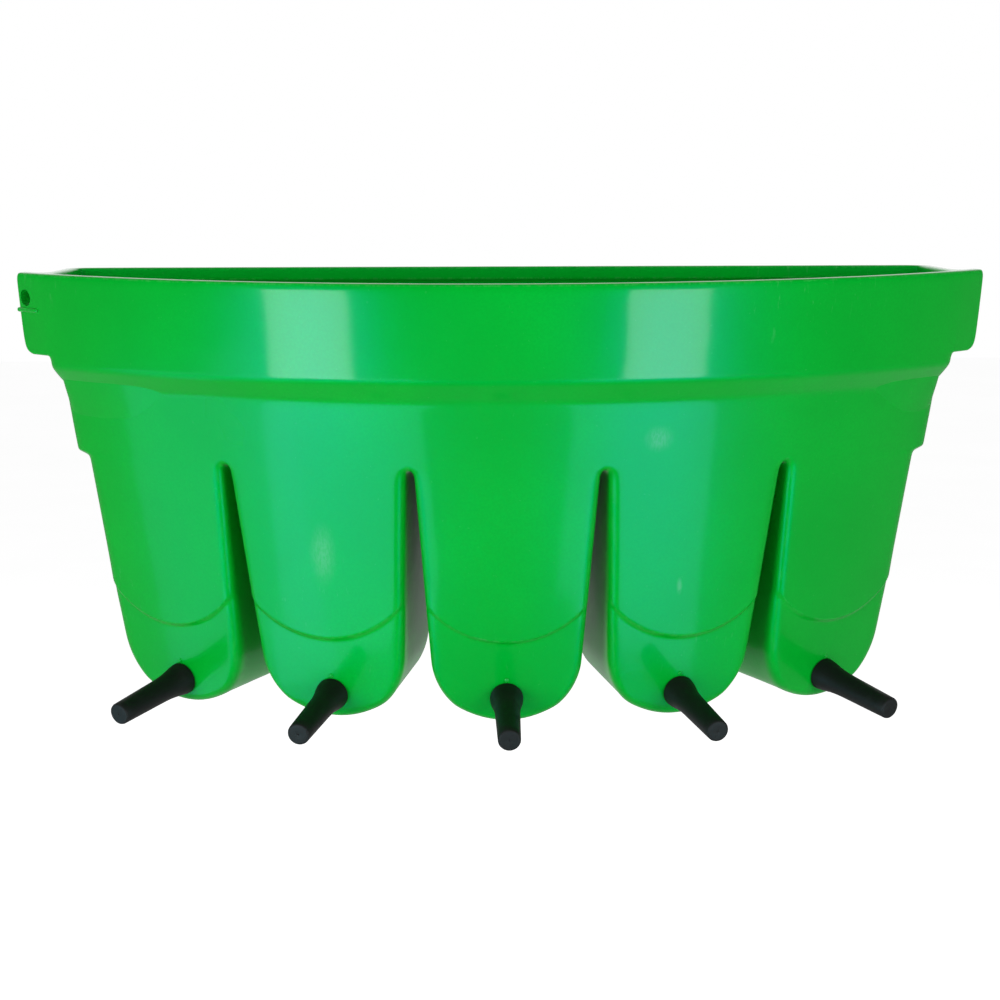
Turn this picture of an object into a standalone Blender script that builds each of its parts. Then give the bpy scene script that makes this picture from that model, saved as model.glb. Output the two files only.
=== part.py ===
"""Group milk feeding trough for calves: a hanging half-moon tub with five milk pockets.

The tub is one moulding. Its upper part is a common basin, so that one pour fills it, and below
the basin floor five separate pockets keep each calf's share apart. At the foot of each pocket
a rubber teat is pushed over a non-return valve that is clamped through the wall.

Frame: metres, +Z up. X runs along the straight back, the teats point to -Y and outwards. The
origin is the middle of the flat back band that bears on the gate.
"""
import bmesh
import bpy
from math import acos, atan, cos, pi, radians, sin, sqrt
from mathutils import Matrix, Vector

# Tub, driving dimensions
RIM_RADIUS = 0.692
TUB_HEIGHT = 0.467
TUB_DEPTH = 0.3215
WALL = 0.005
RIM_LIP = 0.010
LIP_HEIGHT = 0.014
LIP_UNDERSIDE = 0.003
BAND_HEIGHT = 0.100
BAND_TAPER = 0.011
LEDGE_HEIGHT = 0.021
LEDGE_SET = 0.0175
FRONT_SLOPE = 0.203
BACK_LEDGE = 0.014
BACK_SLOPE = 0.113
SIDE_LENGTH = 0.1175
SIDE_STEP_ANGLE = radians(1.70)
SIDE_TOE_IN = 0.014

# Pockets
POCKET_COUNT = 5
BASIN_DEPTH = 0.187
FLOOR_STEP = 0.009
SLOT_TOP_WIDTH = 0.0161
SLOT_FOOT_WIDTH = 0.0355
END_HALF_ANGLE = radians(7.69)
END_TOE_IN = 0.006
FOOT_ROUND = 0.074
FLOOR_RISE = 0.14
FRONT_ROUNDNESS = 0.48
REAR_ROUNDNESS = 0.40
SLOT_ROUND = 0.005
PAD_SET = 0.004
PAD_ABOVE_TEAT = 0.061
PAD_TOP_RADIUS = 0.107
FRONT_FILLET = 0.007
REAR_FILLET = 0.006
FILLET_INSIDE = 0.003

# Hanging ears at both ends of the band
EAR_ANGLE = radians(3.6)
EAR_THICKNESS = 0.012
EAR_DEPTH = 0.088
EAR_CORNER = 0.015
EAR_CORNER_STEPS = 3
HOLE_RADIUS = 0.0088
HOLE_DEPTH = 0.027
HOLE_INSET = 0.013
BEAD_RADIUS = 0.0025
BEAD_LENGTH = 0.028
BEAD_DEPTH = 0.040
BEAD_SIDES = 8
NUT_SIDES = 6

# Teats
TEAT_TO_FOOT = 0.029
TEAT_LENGTH = 0.105
TEAT_WALL_OVER_NUT = 0.0035
TEAT_NECK_WALL = 0.005
TEAT_TIP_RADIUS = 0.0118
TEAT_ORIFICE = 0.0012
TEAT_TIP_WALL = 0.004
TEAT_TIP_EDGE = 0.0015
TEAT_BORE = 0.0065
BELL_RIM = 0.003
BELL_HEIGHT = 0.028
BELL_BEND = 0.0135
BELL_BEND_SHARE = 0.4

# Non-return valves
VALVE_RADIUS = 0.010
THREAD_LENGTH = 0.008
SPIGOT_STEP = 0.0015
SPIGOT_END = 0.034
OUTLET_SHARE = 0.76
FLANGE_WIDTH = 0.005
FLANGE_THICKNESS = 0.003
BOSS_STEP = 0.001
BOSS_LENGTH = 0.006
WASHER_THICKNESS = 0.002
NUT_WIDTH = 0.004
NUT_THICKNESS = 0.006
BALL_RADIUS = 0.005
BALL_TRAVEL = 0.004
BALL_CLEARANCE = 0.0008
SEAT_THICKNESS = 0.003
SEAT_SHARE = 0.72
PASSAGE_WIDTH = 0.002
PASSAGE_LENGTH = 0.004

# Gap left between touching pieces, and how finely round shapes are cut
GAP = 0.0003
ROUND_STEPS = 16
POCKET_COLUMNS = 6
POCKET_ROWS = 4
FOOT_ROWS = 3
FILLET_STEPS = 2

TINY = 0.000001

# What follows from the sizes above
RIM_Z = 0.050
BACK_TO_ARC_CENTRE = RIM_RADIUS - TUB_DEPTH
BAND_RADIUS = RIM_RADIUS - BAND_TAPER
LEDGE_RADIUS = BAND_RADIUS - LEDGE_SET
LEDGE_END = BAND_HEIGHT + LEDGE_HEIGHT
SPRING_DEPTH = TUB_HEIGHT - FOOT_ROUND
MIDDLE_POCKET = POCKET_COUNT // 2
SIDE_ANGLE = acos((BACK_TO_ARC_CENTRE + SIDE_LENGTH) / RIM_RADIUS)
END_WALL_ANGLE = SIDE_ANGLE - SIDE_STEP_ANGLE
POCKET_PITCH = (END_WALL_ANGLE - END_HALF_ANGLE) / MIDDLE_POCKET
TEAT_DEPTH = TUB_HEIGHT - TEAT_TO_FOOT
PAD_TOP = TEAT_DEPTH - PAD_ABOVE_TEAT
TILT = atan(FRONT_SLOPE)
UP = Vector((0.0, 0.0, 1.0))

# Radii that fit one inside the other, from the hole in the tub outwards and inwards
HOLE_IN_TUB = VALVE_RADIUS + 2 * GAP
FLANGE_RADIUS = VALVE_RADIUS + FLANGE_WIDTH
BOSS_RADIUS = VALVE_RADIUS - BOSS_STEP
SPIGOT_RADIUS = VALVE_RADIUS - SPIGOT_STEP
NUT_RADIUS = VALVE_RADIUS + NUT_WIDTH
TEAT_BASE_RADIUS = NUT_RADIUS + TEAT_WALL_OVER_NUT
TEAT_NECK_RADIUS = SPIGOT_RADIUS + TEAT_NECK_WALL
OUTLET_RADIUS = OUTLET_SHARE * BALL_RADIUS
SEAT_BORE = SEAT_SHARE * BALL_RADIUS

# Heights along a teat's axis, from the outer face of its pad, with the valve's stack inside
INNER_FACE = -WALL * cos(TILT)
WASHER_TOP = INNER_FACE - GAP
FLANGE_TOP = WASHER_TOP - WASHER_THICKNESS - GAP
FLANGE_END = FLANGE_TOP - FLANGE_THICKNESS
VALVE_END = FLANGE_END - BOSS_LENGTH
SEAT_TOP = VALVE_END + SEAT_THICKNESS
CHAMBER_RADIUS = BALL_RADIUS + BALL_CLEARANCE
BALL_CLOSED = SEAT_TOP + sqrt(BALL_RADIUS**2 - SEAT_BORE**2) + GAP
BALL_OPEN = BALL_CLOSED + BALL_TRAVEL
BALL_STOP = BALL_OPEN + sqrt(BALL_RADIUS**2 - OUTLET_RADIUS**2) + GAP

# Points of the tub's front boundary past this X are on its two ends
END_MARGIN = 0.014
END_START = LEDGE_RADIUS * sin(SIDE_ANGLE) - END_MARGIN


def clear_scene():
    for old in list(bpy.data.objects):
        bpy.data.objects.remove(old, do_unlink=True)


def collection(name):
    made = bpy.data.collections.new(name)
    bpy.context.scene.collection.children.link(made)
    return made


def material(name, colour, roughness, metallic=0.0):
    made = bpy.data.materials.new(name)
    made.use_nodes = True
    shader = made.node_tree.nodes["Principled BSDF"]
    shader.inputs["Base Color"].default_value = (*colour, 1.0)
    shader.inputs["Roughness"].default_value = roughness
    shader.inputs["Metallic"].default_value = metallic
    return made


def mesh_object(name, bm, home, finish=None):
    mesh = bpy.data.meshes.new(name)
    bm.to_mesh(mesh)
    bm.free()
    made = bpy.data.objects.new(name, mesh)
    home.objects.link(made)
    if finish:
        mesh.materials.append(finish)
    return made


def cutter(obj):
    obj.hide_render = True
    obj.display_type = "WIRE"
    return obj


def boolean(obj, other, operation):
    step = obj.modifiers.new(operation.lower() + "_" + other.name, "BOOLEAN")
    step.operation = operation
    step.solver = "EXACT"
    step.object = other


def smooth(obj, angle=radians(35)):
    obj.data.shade_smooth()
    obj.data.set_sharp_from_angle(angle=angle)


def between(low, high, share):
    return low + (high - low) * share


def front_radius(depth):
    """Radius of the arched front, at a depth below the rim, in three straight stretches."""
    if depth <= BAND_HEIGHT:
        return between(RIM_RADIUS, BAND_RADIUS, max(depth, 0.0) / BAND_HEIGHT)
    if depth <= LEDGE_END:
        return between(BAND_RADIUS, LEDGE_RADIUS, (depth - BAND_HEIGHT) / LEDGE_HEIGHT)
    return LEDGE_RADIUS - FRONT_SLOPE * (depth - LEDGE_END)


def back_line(depth):
    """How far the back wall stands forward of the flat band, at a depth below the rim."""
    if depth <= BAND_HEIGHT:
        return 0.0
    if depth <= LEDGE_END:
        return -BACK_LEDGE * (depth - BAND_HEIGHT) / LEDGE_HEIGHT
    return -BACK_LEDGE - BACK_SLOPE * (depth - LEDGE_END)


def half_beside_slot(depth, slot):
    """Half width of a pocket at a depth, with a slot of this width on either side of it."""
    half_pitch = POCKET_PITCH / 2
    return (front_radius(depth) * sin(half_pitch) - slot / 2) / cos(half_pitch)


def rounded_square(s, t, roundness):
    """Point of a square, s across and t down, pulled in to a rounded foot."""
    return s * sqrt(1.0 - roundness * t * t), t * sqrt(1.0 - roundness * s * s)


def pocket_angle(pocket):
    return (pocket - MIDDLE_POCKET) * POCKET_PITCH


def is_end(pocket, side):
    """True for the outer side of the first and last pocket, where the tub's end wall is."""
    return (pocket == 0 and side < 0) or (pocket == POCKET_COUNT - 1 and side > 0)


class Skin:
    """The outer or the inner surface of the tub, as a place for each column and row.

    A column is a pocket and a share s from -1 to 1 across it, or the middle of the slot on a
    pocket's right. A row is a depth, and rows past the last depth round off the foot.
    """

    def __init__(self, inset, depths, lip=None):
        self.inset = inset
        self.depths = depths
        self.lip = lip
        self.basin_floor = BASIN_DEPTH + FLOOR_STEP - inset
        self.half_top = half_beside_slot(BASIN_DEPTH, SLOT_TOP_WIDTH)
        self.half_foot = half_beside_slot(SPRING_DEPTH, SLOT_FOOT_WIDTH)

    def wall(self, depth):
        if self.lip and depth < LIP_HEIGHT:
            return self.lip
        return self.inset

    def half_width(self, pocket, side, depth):
        """Half width of a pocket on one side, across its own axis."""
        radius = front_radius(depth)
        if is_end(pocket, side):
            upper = depth < self.basin_floor - FLOOR_STEP / 2
            end = SIDE_ANGLE if upper else END_WALL_ANGLE
            return radius * sin(end - abs(pocket_angle(pocket))) - self.wall(depth)
        share = (depth - BASIN_DEPTH) / (SPRING_DEPTH - BASIN_DEPTH)
        share = min(max(share, 0.0), 1.0)
        return between(self.half_top, self.half_foot, share) - self.inset

    def front_point(self, pocket, across, depth):
        """Point on the front wall, from the offset across the pocket's axis and the depth."""
        radius = front_radius(depth) - self.wall(depth)
        out = sqrt(radius * radius - across * across)
        pad_line = PAD_TOP - PAD_TOP_RADIUS + sqrt(max(PAD_TOP_RADIUS**2 - across**2, 0.0))
        if depth > pad_line:
            out = radius - PAD_SET
        angle = pocket_angle(pocket)
        x = out * sin(angle) + across * cos(angle)
        y = -out * cos(angle) + across * sin(angle) + BACK_TO_ARC_CENTRE
        return Vector((x, y, RIM_Z - depth))

    def rear_edge(self, pocket, side, depth):
        """Where a pocket's side wall meets the back wall, measured along X."""
        corner = self.front_point(pocket, side * self.half_width(pocket, side, depth), depth)
        if is_end(pocket, side):
            upper = depth < self.basin_floor - FLOOR_STEP / 2
            return corner.x - side * (SIDE_TOE_IN if upper else END_TOE_IN)
        heading = pocket_angle(pocket) + side * POCKET_PITCH / 2
        run = (back_line(depth) - self.wall(depth) - corner.y) / cos(heading)
        return corner.x - run * sin(heading)

    def foot(self, row):
        """Share of the foot's rounding that a row below the last depth has reached."""
        return max(row - len(self.depths) + 1, 0) / FOOT_ROWS

    def depth_of(self, row):
        return self.depths[min(row, len(self.depths) - 1)]

    def front(self, pocket, s, row):
        depth = self.depth_of(row)
        side = 1.0 if s > 0 else -1.0
        t = self.foot(row)
        wide, down = rounded_square(s, t, FRONT_ROUNDNESS)
        drop = (FOOT_ROUND - self.inset) * down
        across = wide * self.half_width(pocket, side, depth)
        return self.front_point(pocket, across, depth + drop)

    def back(self, pocket, s, row):
        depth = self.depth_of(row)
        t = self.foot(row)
        wide, down = rounded_square(s, t, REAR_ROUNDNESS)
        axis_front = self.front_point(pocket, 0.0, TUB_HEIGHT)
        run = (back_line(TUB_HEIGHT) - axis_front.y) / cos(pocket_angle(pocket))
        drop = (FOOT_ROUND - self.inset - FLOOR_RISE * run) * down
        left = self.rear_edge(pocket, -1.0, depth)
        right = self.rear_edge(pocket, 1.0, depth)
        x = between(left, right, (wide + 1.0) / 2.0)
        level = depth + drop
        return Vector((x, back_line(level) - self.wall(level), RIM_Z - level))

    def slot(self, pocket, row, back):
        """Middle of the slot on the right of a pocket; its roof is a little higher there."""
        place = self.back if back else self.front
        middle = (place(pocket, 1.0, row) + place(pocket + 1, -1.0, row)) / 2
        depth = self.depth_of(row)
        if depth >= self.basin_floor:
            middle.z += SLOT_ROUND
        if not back:
            angle = pocket_angle(pocket) + POCKET_PITCH / 2
            radius = front_radius(depth) - self.wall(depth)
            middle.x = radius * sin(angle)
            middle.y = BACK_TO_ARC_CENTRE - radius * cos(angle)
        return middle


def column_list():
    """All columns from left to right: (pocket, share across) or (pocket, None) for a slot."""
    columns = []
    for pocket in range(POCKET_COUNT):
        for step in range(POCKET_COLUMNS + 1):
            columns.append((pocket, 2.0 * step / POCKET_COLUMNS - 1.0))
        if pocket < POCKET_COUNT - 1:
            columns.append((pocket, None))
    return columns


def sheet(bm, skin, back):
    """One curved sheet with the slots left out, from a flat grid whose points are placed."""
    columns = column_list()
    last_row = len(skin.depths) - 1 + FOOT_ROWS
    across = len(columns) - 1
    made = bmesh.ops.create_grid(bm, x_segments=across, y_segments=last_row, size=1.0)
    place = {}
    for vert in made["verts"]:
        column = round((vert.co.x + 1.0) / 2.0 * across)
        row = round((1.0 - vert.co.y) / 2.0 * last_row)
        place[vert] = (column, row)
    slot_row = skin.depths.index(skin.basin_floor)
    slot_columns = [n for n, (pocket, s) in enumerate(columns) if s is None]
    doomed = []
    for face in {f for v in place for f in v.link_faces}:
        centre_row = sum(place[v][1] for v in face.verts) / 4
        centre_column = sum(place[v][0] for v in face.verts) / 4
        if centre_row > slot_row and any(abs(centre_column - n) < 1 for n in slot_columns):
            doomed.append(face)
    bmesh.ops.delete(bm, geom=doomed, context="FACES")
    points = {}
    for vert, (column, row) in place.items():
        if not vert.is_valid:
            continue
        pocket, s = columns[column]
        if s is None:
            vert.co = skin.slot(pocket, row, back)
        elif back:
            vert.co = skin.back(pocket, s, row)
        else:
            vert.co = skin.front(pocket, s, row)
        points[(column, row)] = vert
    return points


def tub_solid(skin, fillet, rear_fillet, ears):
    """Closed body of a skin: front and back sheets, walls lofted between, and a flat top."""
    bm = bmesh.new()
    front = sheet(bm, skin, back=False)
    back = sheet(bm, skin, back=True)
    for face in {f for v in back.values() for f in v.link_faces}:
        face.normal_flip()
    top = {v for (column, row), v in front.items() if row == 0}
    edges = [e for e in bm.edges if e.is_boundary and e.verts[0] in set(front.values())]
    rim_edges = [e for e in edges if e.verts[0] in top and e.verts[1] in top]
    lower = [e for e in edges if e not in rim_edges]
    partner = {front[key]: back[key] for key in front}
    ring = {}
    for vert in {v for e in lower for v in e.verts}:
        run = partner[vert].co - vert.co
        ring[vert] = bm.verts.new(vert.co + run.normalized() * EAR_THICKNESS)
    ear_faces = []
    creases = []
    rear_edges = []
    for edge in lower:
        loop = edge.link_loops[0]
        one, two = loop.vert, loop.link_loop_next.vert
        near = bm.faces.new((two, one, ring[one], ring[two]))
        bm.faces.new((ring[two], ring[one], partner[one], partner[two]))
        creases.append(edge)
        rear_edges.append(bm.edges.get((partner[one], partner[two])))
        depth = RIM_Z - min(one.co.z, two.co.z)
        if ears and depth < EAR_DEPTH + TINY and abs(one.co.x) > END_START:
            ear_faces.append(near)
    bmesh.ops.holes_fill(bm, edges=[e for e in bm.edges if e.is_boundary], sides=0)
    bmesh.ops.recalc_face_normals(bm, faces=bm.faces[:])
    if ears:
        grow_ears(bm, ear_faces)
    if ears:
        creases = [e for e in creases if e.is_valid and not on_ear(e)]
    for edges, radius in ((creases, fillet), (rear_edges, rear_fillet)):
        bmesh.ops.bevel(bm, geom=edges, offset=radius, segments=FILLET_STEPS, profile=0.5,
                        affect="EDGES", clamp_overlap=False, loop_slide=False)
    bmesh.ops.recalc_face_normals(bm, faces=bm.faces[:])
    if bm.calc_volume(signed=True) < 0.0:
        bmesh.ops.reverse_faces(bm, faces=bm.faces[:])
    return bm


def on_ear(edge):
    """True for the edges between the band's front and its ears, which stay flush."""
    return all(RIM_Z - v.co.z < EAR_DEPTH + TINY and abs(v.co.x) > END_START
               for v in edge.verts)


def grow_ears(bm, faces):
    """Extrude the strips behind the band's front corners round the arc, as flat ears."""
    centre = Vector((0.0, BACK_TO_ARC_CENTRE, 0.0))
    strips = {side: [f for f in faces if f.calc_center_median().x * side > 0]
              for side in (-1.0, 1.0)}
    for side, strip in strips.items():
        grown = bmesh.ops.extrude_face_region(bm, geom=strip)
        left = [f for f in strip if f.is_valid]
        bmesh.ops.delete(bm, geom=left, context="FACES_ONLY")
        verts = [v for v in grown["geom"] if isinstance(v, bmesh.types.BMVert)]
        turn = Matrix.Rotation(side * EAR_ANGLE, 4, "Z")
        for vert in verts:
            vert.co = centre + turn @ (vert.co - centre)
        lowest = min(v.co.z for v in verts)
        corner = [e for e in bm.edges if all(v in verts for v in e.verts)
                  and all(v.co.z < lowest + TINY for v in e.verts)]
        bmesh.ops.bevel(bm, geom=corner, offset=EAR_CORNER, segments=EAR_CORNER_STEPS,
                        profile=0.5, affect="EDGES", clamp_overlap=False)


def tub_rows(inset, lip):
    """Depths of the rows from the rim down to where the pockets' feet start to round."""
    basin_floor = BASIN_DEPTH + FLOOR_STEP - inset
    if lip:
        upper = [-LIP_HEIGHT, LIP_HEIGHT - GAP, LIP_HEIGHT + LIP_UNDERSIDE]
    else:
        upper = [0.0, EAR_DEPTH / 2]
    upper += [EAR_DEPTH, BAND_HEIGHT, LEDGE_END, basin_floor - FLOOR_STEP, basin_floor]
    lower = [between(basin_floor, SPRING_DEPTH, n / POCKET_ROWS)
             for n in range(1, POCKET_ROWS + 1)]
    return upper + lower


def teat_frame(pocket):
    """Matrix whose origin is on the flat pad's outer face and whose Z is the teat's axis."""
    radius = front_radius(TEAT_DEPTH) - PAD_SET
    angle = pocket_angle(pocket)
    spot = Vector((radius * sin(angle), BACK_TO_ARC_CENTRE - radius * cos(angle),
                   RIM_Z - TEAT_DEPTH))
    axis = Vector((sin(angle) * cos(TILT), -cos(angle) * cos(TILT), -sin(TILT)))
    turn = UP.rotation_difference(axis).to_matrix().to_4x4()
    return Matrix.Translation(spot) @ turn


def turned(name, profile, home, finish, frame):
    """A ring turned round Z from a closed profile of (radius, height) points."""
    bm = bmesh.new()
    verts = [bm.verts.new((r, 0.0, z)) for r, z in profile]
    for n, vert in enumerate(verts):
        bm.edges.new((vert, verts[(n + 1) % len(verts)]))
    made = mesh_object(name, bm, home, finish)
    screw = made.modifiers.new("turn", "SCREW")
    screw.axis = "Z"
    screw.steps = ROUND_STEPS
    screw.render_steps = ROUND_STEPS
    screw.use_merge_vertices = True
    screw.merge_threshold = 0.00001
    made.matrix_world = frame
    return made


def rod(name, radius, low, high, home, frame, sides=ROUND_STEPS, finish=None):
    """A plain round or six-sided bar along Z between two heights."""
    bm = bmesh.new()
    bmesh.ops.create_cone(bm, segments=sides, radius1=radius, radius2=radius,
                          depth=high - low, cap_ends=True)
    bmesh.ops.translate(bm, vec=UP * (low + high) / 2, verts=bm.verts)
    made = mesh_object(name, bm, home, finish)
    made.matrix_world = frame
    return made


def arc_frame(angle, depth, radius):
    """Matrix on the band's front: X along the arc, Y inwards and Z up."""
    spot = Vector((radius * sin(angle), BACK_TO_ARC_CENTRE - radius * cos(angle),
                   RIM_Z - depth))
    return Matrix.Translation(spot) @ Matrix.Rotation(angle, 4, "Z")


def make_tub(home, cutters, finish):
    outer = tub_solid(Skin(0.0, tub_rows(0.0, False)), FRONT_FILLET, REAR_FILLET, ears=True)
    made = mesh_object("tub", outer, home, finish)
    inner_skin = Skin(WALL, tub_rows(WALL, True), lip=RIM_LIP)
    inner = tub_solid(inner_skin, FILLET_INSIDE, FILLET_INSIDE, ears=False)
    boolean(made, cutter(mesh_object("tub_hollow", inner, cutters)), "DIFFERENCE")

    ear_end = -(SIDE_ANGLE + EAR_ANGLE)
    radius = front_radius(HOLE_DEPTH)
    frame = arc_frame(ear_end + HOLE_INSET / radius, HOLE_DEPTH, radius)
    frame = frame @ Matrix.Rotation(pi / 2, 4, "X")
    reach = 2 * EAR_THICKNESS
    boolean(made, cutter(rod("ear_hole", HOLE_RADIUS, -reach, reach, cutters, frame)),
            "DIFFERENCE")

    radius = front_radius(BEAD_DEPTH)
    middle = BEAD_LENGTH / 2 - BEAD_RADIUS
    frame = arc_frame(ear_end + middle / radius, BEAD_DEPTH, radius)
    frame = frame @ Matrix.Rotation(pi / 2, 4, "Y")
    bead = rod("ear_bead", BEAD_RADIUS, -BEAD_LENGTH / 2, BEAD_LENGTH / 2, cutters, frame,
               BEAD_SIDES)
    boolean(made, cutter(bead), "UNION")

    for pocket in range(POCKET_COUNT):
        hole = rod(f"valve_hole_{pocket + 1}", HOLE_IN_TUB, -2 * WALL, 2 * WALL, cutters,
                   teat_frame(pocket))
        boolean(made, cutter(hole), "DIFFERENCE")
    return made


def make_teat(number, home, finish, frame):
    """Push-on rubber teat: a bell over the nut, a grip on the spigot and a hollow finger."""
    tip_start = TEAT_LENGTH - TEAT_TIP_EDGE
    nut_room = NUT_RADIUS + GAP
    nut_end = GAP + NUT_THICKNESS + 2 * GAP
    grip = SPIGOT_RADIUS + GAP
    grip_end = SPIGOT_END + GAP
    cone = grip - TEAT_BORE
    tip_bore = TEAT_LENGTH - TEAT_TIP_WALL
    profile = [
        (TEAT_ORIFICE, TEAT_LENGTH),
        (TEAT_TIP_RADIUS - TEAT_TIP_EDGE, TEAT_LENGTH),
        (TEAT_TIP_RADIUS, tip_start),
        (TEAT_NECK_RADIUS, BELL_HEIGHT),
        (between(TEAT_BASE_RADIUS, TEAT_NECK_RADIUS, BELL_BEND_SHARE), BELL_BEND),
        (TEAT_BASE_RADIUS, BELL_RIM),
        (TEAT_BASE_RADIUS, GAP),
        (nut_room, GAP),
        (nut_room, nut_end),
        (VALVE_RADIUS + GAP, nut_end),
        (VALVE_RADIUS + GAP, THREAD_LENGTH + GAP),
        (grip, THREAD_LENGTH + GAP),
        (grip, grip_end),
        (TEAT_BORE, grip_end + cone),
        (TEAT_BORE, tip_bore - TEAT_BORE),
        (TEAT_ORIFICE, tip_bore),
    ]
    made = turned(f"teat_{number}", profile, home, finish, frame)
    smooth(made)
    return made


def make_valve(number, home, cutters, finish, frame):
    """Valve body: flange inside the tub, thread through the wall, spigot in the teat."""
    profile = [
        (OUTLET_RADIUS, SPIGOT_END),
        (SPIGOT_RADIUS, SPIGOT_END),
        (SPIGOT_RADIUS, THREAD_LENGTH),
        (VALVE_RADIUS, THREAD_LENGTH),
        (VALVE_RADIUS, FLANGE_TOP),
        (FLANGE_RADIUS, FLANGE_TOP),
        (FLANGE_RADIUS, FLANGE_END),
        (BOSS_RADIUS, FLANGE_END),
        (BOSS_RADIUS, VALVE_END),
        (CHAMBER_RADIUS, VALVE_END),
        (CHAMBER_RADIUS, BALL_STOP),
        (OUTLET_RADIUS, BALL_STOP),
    ]
    made = turned(f"valve_body_{number}", profile, home, finish, frame)
    for turn in (0.0, pi / 2):
        bm = bmesh.new()
        size = (2 * CHAMBER_RADIUS - PASSAGE_WIDTH / 2, PASSAGE_WIDTH, PASSAGE_LENGTH)
        bmesh.ops.create_cube(bm, size=1.0)
        bmesh.ops.scale(bm, vec=size, verts=bm.verts)
        bmesh.ops.translate(bm, vec=UP * (BALL_STOP + PASSAGE_LENGTH / 4), verts=bm.verts)
        bmesh.ops.rotate(bm, matrix=Matrix.Rotation(turn, 3, "Z"), verts=bm.verts)
        slot = mesh_object(f"milk_passage_{number}_{round(turn)}", bm, cutters)
        slot.matrix_world = frame
        boolean(made, cutter(slot), "DIFFERENCE")
    smooth(made)
    return made


def make_washer(number, home, finish, frame):
    bore = VALVE_RADIUS + GAP
    low = WASHER_TOP - WASHER_THICKNESS
    profile = [(bore, WASHER_TOP), (FLANGE_RADIUS, WASHER_TOP), (FLANGE_RADIUS, low), (bore, low)]
    smooth(turned(f"seal_washer_{number}", profile, home, finish, frame))


def make_nut(number, home, cutters, finish, frame):
    made = rod(f"lock_nut_{number}", NUT_RADIUS, GAP, GAP + NUT_THICKNESS, home, frame,
               NUT_SIDES, finish)
    bore = rod(f"nut_bore_{number}", HOLE_IN_TUB, -NUT_THICKNESS, 2 * NUT_THICKNESS, cutters,
               frame)
    boolean(made, cutter(bore), "DIFFERENCE")
    smooth(made)


def make_seat(number, home, finish, frame):
    """Rubber seat pressed into the valve's inner end; its edge is coned for the ball."""
    outside = CHAMBER_RADIUS - GAP
    cone = SEAT_THICKNESS / 3
    profile = [
        (SEAT_BORE, SEAT_TOP - cone / 2),
        (SEAT_BORE + cone, SEAT_TOP - cone / 2),
        (outside, SEAT_TOP),
        (outside, VALVE_END),
        (SEAT_BORE, VALVE_END),
    ]
    smooth(turned(f"seat_ring_{number}", profile, home, finish, frame))


def make_ball(number, home, finish, frame):
    """Check ball, lying against its stop, with its origin on the valve's axis."""
    bm = bmesh.new()
    bmesh.ops.create_icosphere(bm, subdivisions=2, radius=BALL_RADIUS)
    made = mesh_object(f"check_ball_{number}", bm, home, finish)
    made.data.shade_smooth()
    made.matrix_world = frame @ Matrix.Translation(UP * BALL_OPEN)


def main():
    clear_scene()
    home = collection("calf_milk_trough")
    cutters = collection("cutters")
    make_tub(home, cutters, material("tub_green", (0.0, 0.46, 0.05), 0.32))
    rubber = material("teat_rubber", (0.012, 0.012, 0.012), 0.55)
    plastic = material("valve_plastic", (0.75, 0.75, 0.72), 0.4)
    washer = material("seal_rubber", (0.05, 0.05, 0.05), 0.7)
    nut = material("nut_plastic", (0.65, 0.65, 0.62), 0.45)
    seat = material("seat_rubber", (0.35, 0.06, 0.04), 0.6)
    steel = material("ball_steel", (0.62, 0.62, 0.60), 0.2, 1.0)
    for pocket in range(POCKET_COUNT):
        number = pocket + 1
        frame = teat_frame(pocket)
        make_teat(number, home, rubber, frame)
        make_valve(number, home, cutters, plastic, frame)
        make_washer(number, home, washer, frame)
        make_nut(number, home, cutters, nut, frame)
        make_seat(number, home, seat, frame)
        make_ball(number, home, steel, frame)


main()
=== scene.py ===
"""Hanging milk trough for calves: a green moulded tub with five pockets and five rubber teats.

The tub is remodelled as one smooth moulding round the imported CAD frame. The teats, valve bodies,
washers and seats are turned pieces, and the nuts and balls start as primitives. Units are metres,
+Z up; the origin is the middle of the back band.
"""
from math import acos, atan, cos, pi, radians, sin, sqrt

import bmesh
import bpy
from mathutils import Matrix, Vector, noise


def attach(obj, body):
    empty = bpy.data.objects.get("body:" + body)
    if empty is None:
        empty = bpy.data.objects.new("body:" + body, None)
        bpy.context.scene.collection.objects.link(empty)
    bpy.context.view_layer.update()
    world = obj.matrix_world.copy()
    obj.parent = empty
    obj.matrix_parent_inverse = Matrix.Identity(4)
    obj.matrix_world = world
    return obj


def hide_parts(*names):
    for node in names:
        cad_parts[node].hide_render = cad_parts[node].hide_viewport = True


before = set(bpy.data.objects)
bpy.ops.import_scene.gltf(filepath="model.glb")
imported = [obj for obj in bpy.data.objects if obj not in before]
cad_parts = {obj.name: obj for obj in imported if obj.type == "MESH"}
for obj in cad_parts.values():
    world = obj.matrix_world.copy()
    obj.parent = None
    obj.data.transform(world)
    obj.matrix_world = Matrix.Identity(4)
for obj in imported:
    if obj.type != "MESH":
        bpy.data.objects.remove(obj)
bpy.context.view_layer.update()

bl_info = {
    "name": "Calf milk trough",
    "version": (1, 0, 0),
    "blender": (4, 5, 0),
    "location": "View3D > Sidebar > Trough",
    "description": "Builds a five-place milk trough with rubber teats round its packed frame",
    "category": "Object",
}

BODY = "trough"
UP = Vector((0.0, 0.0, 1.0))
RIM_Z = 0.050
POCKETS = 5
MIDDLE = POCKETS // 2
TOLERANCE = 1e-6


def measure(name, default, description):
    return bpy.props.FloatProperty(name=name, description=description, default=default,
                                   unit="LENGTH")


def tint(name, default, description):
    return bpy.props.FloatVectorProperty(name=name, description=description, default=default,
                                         subtype="COLOR", size=3, min=0.0, max=1.0)


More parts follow.
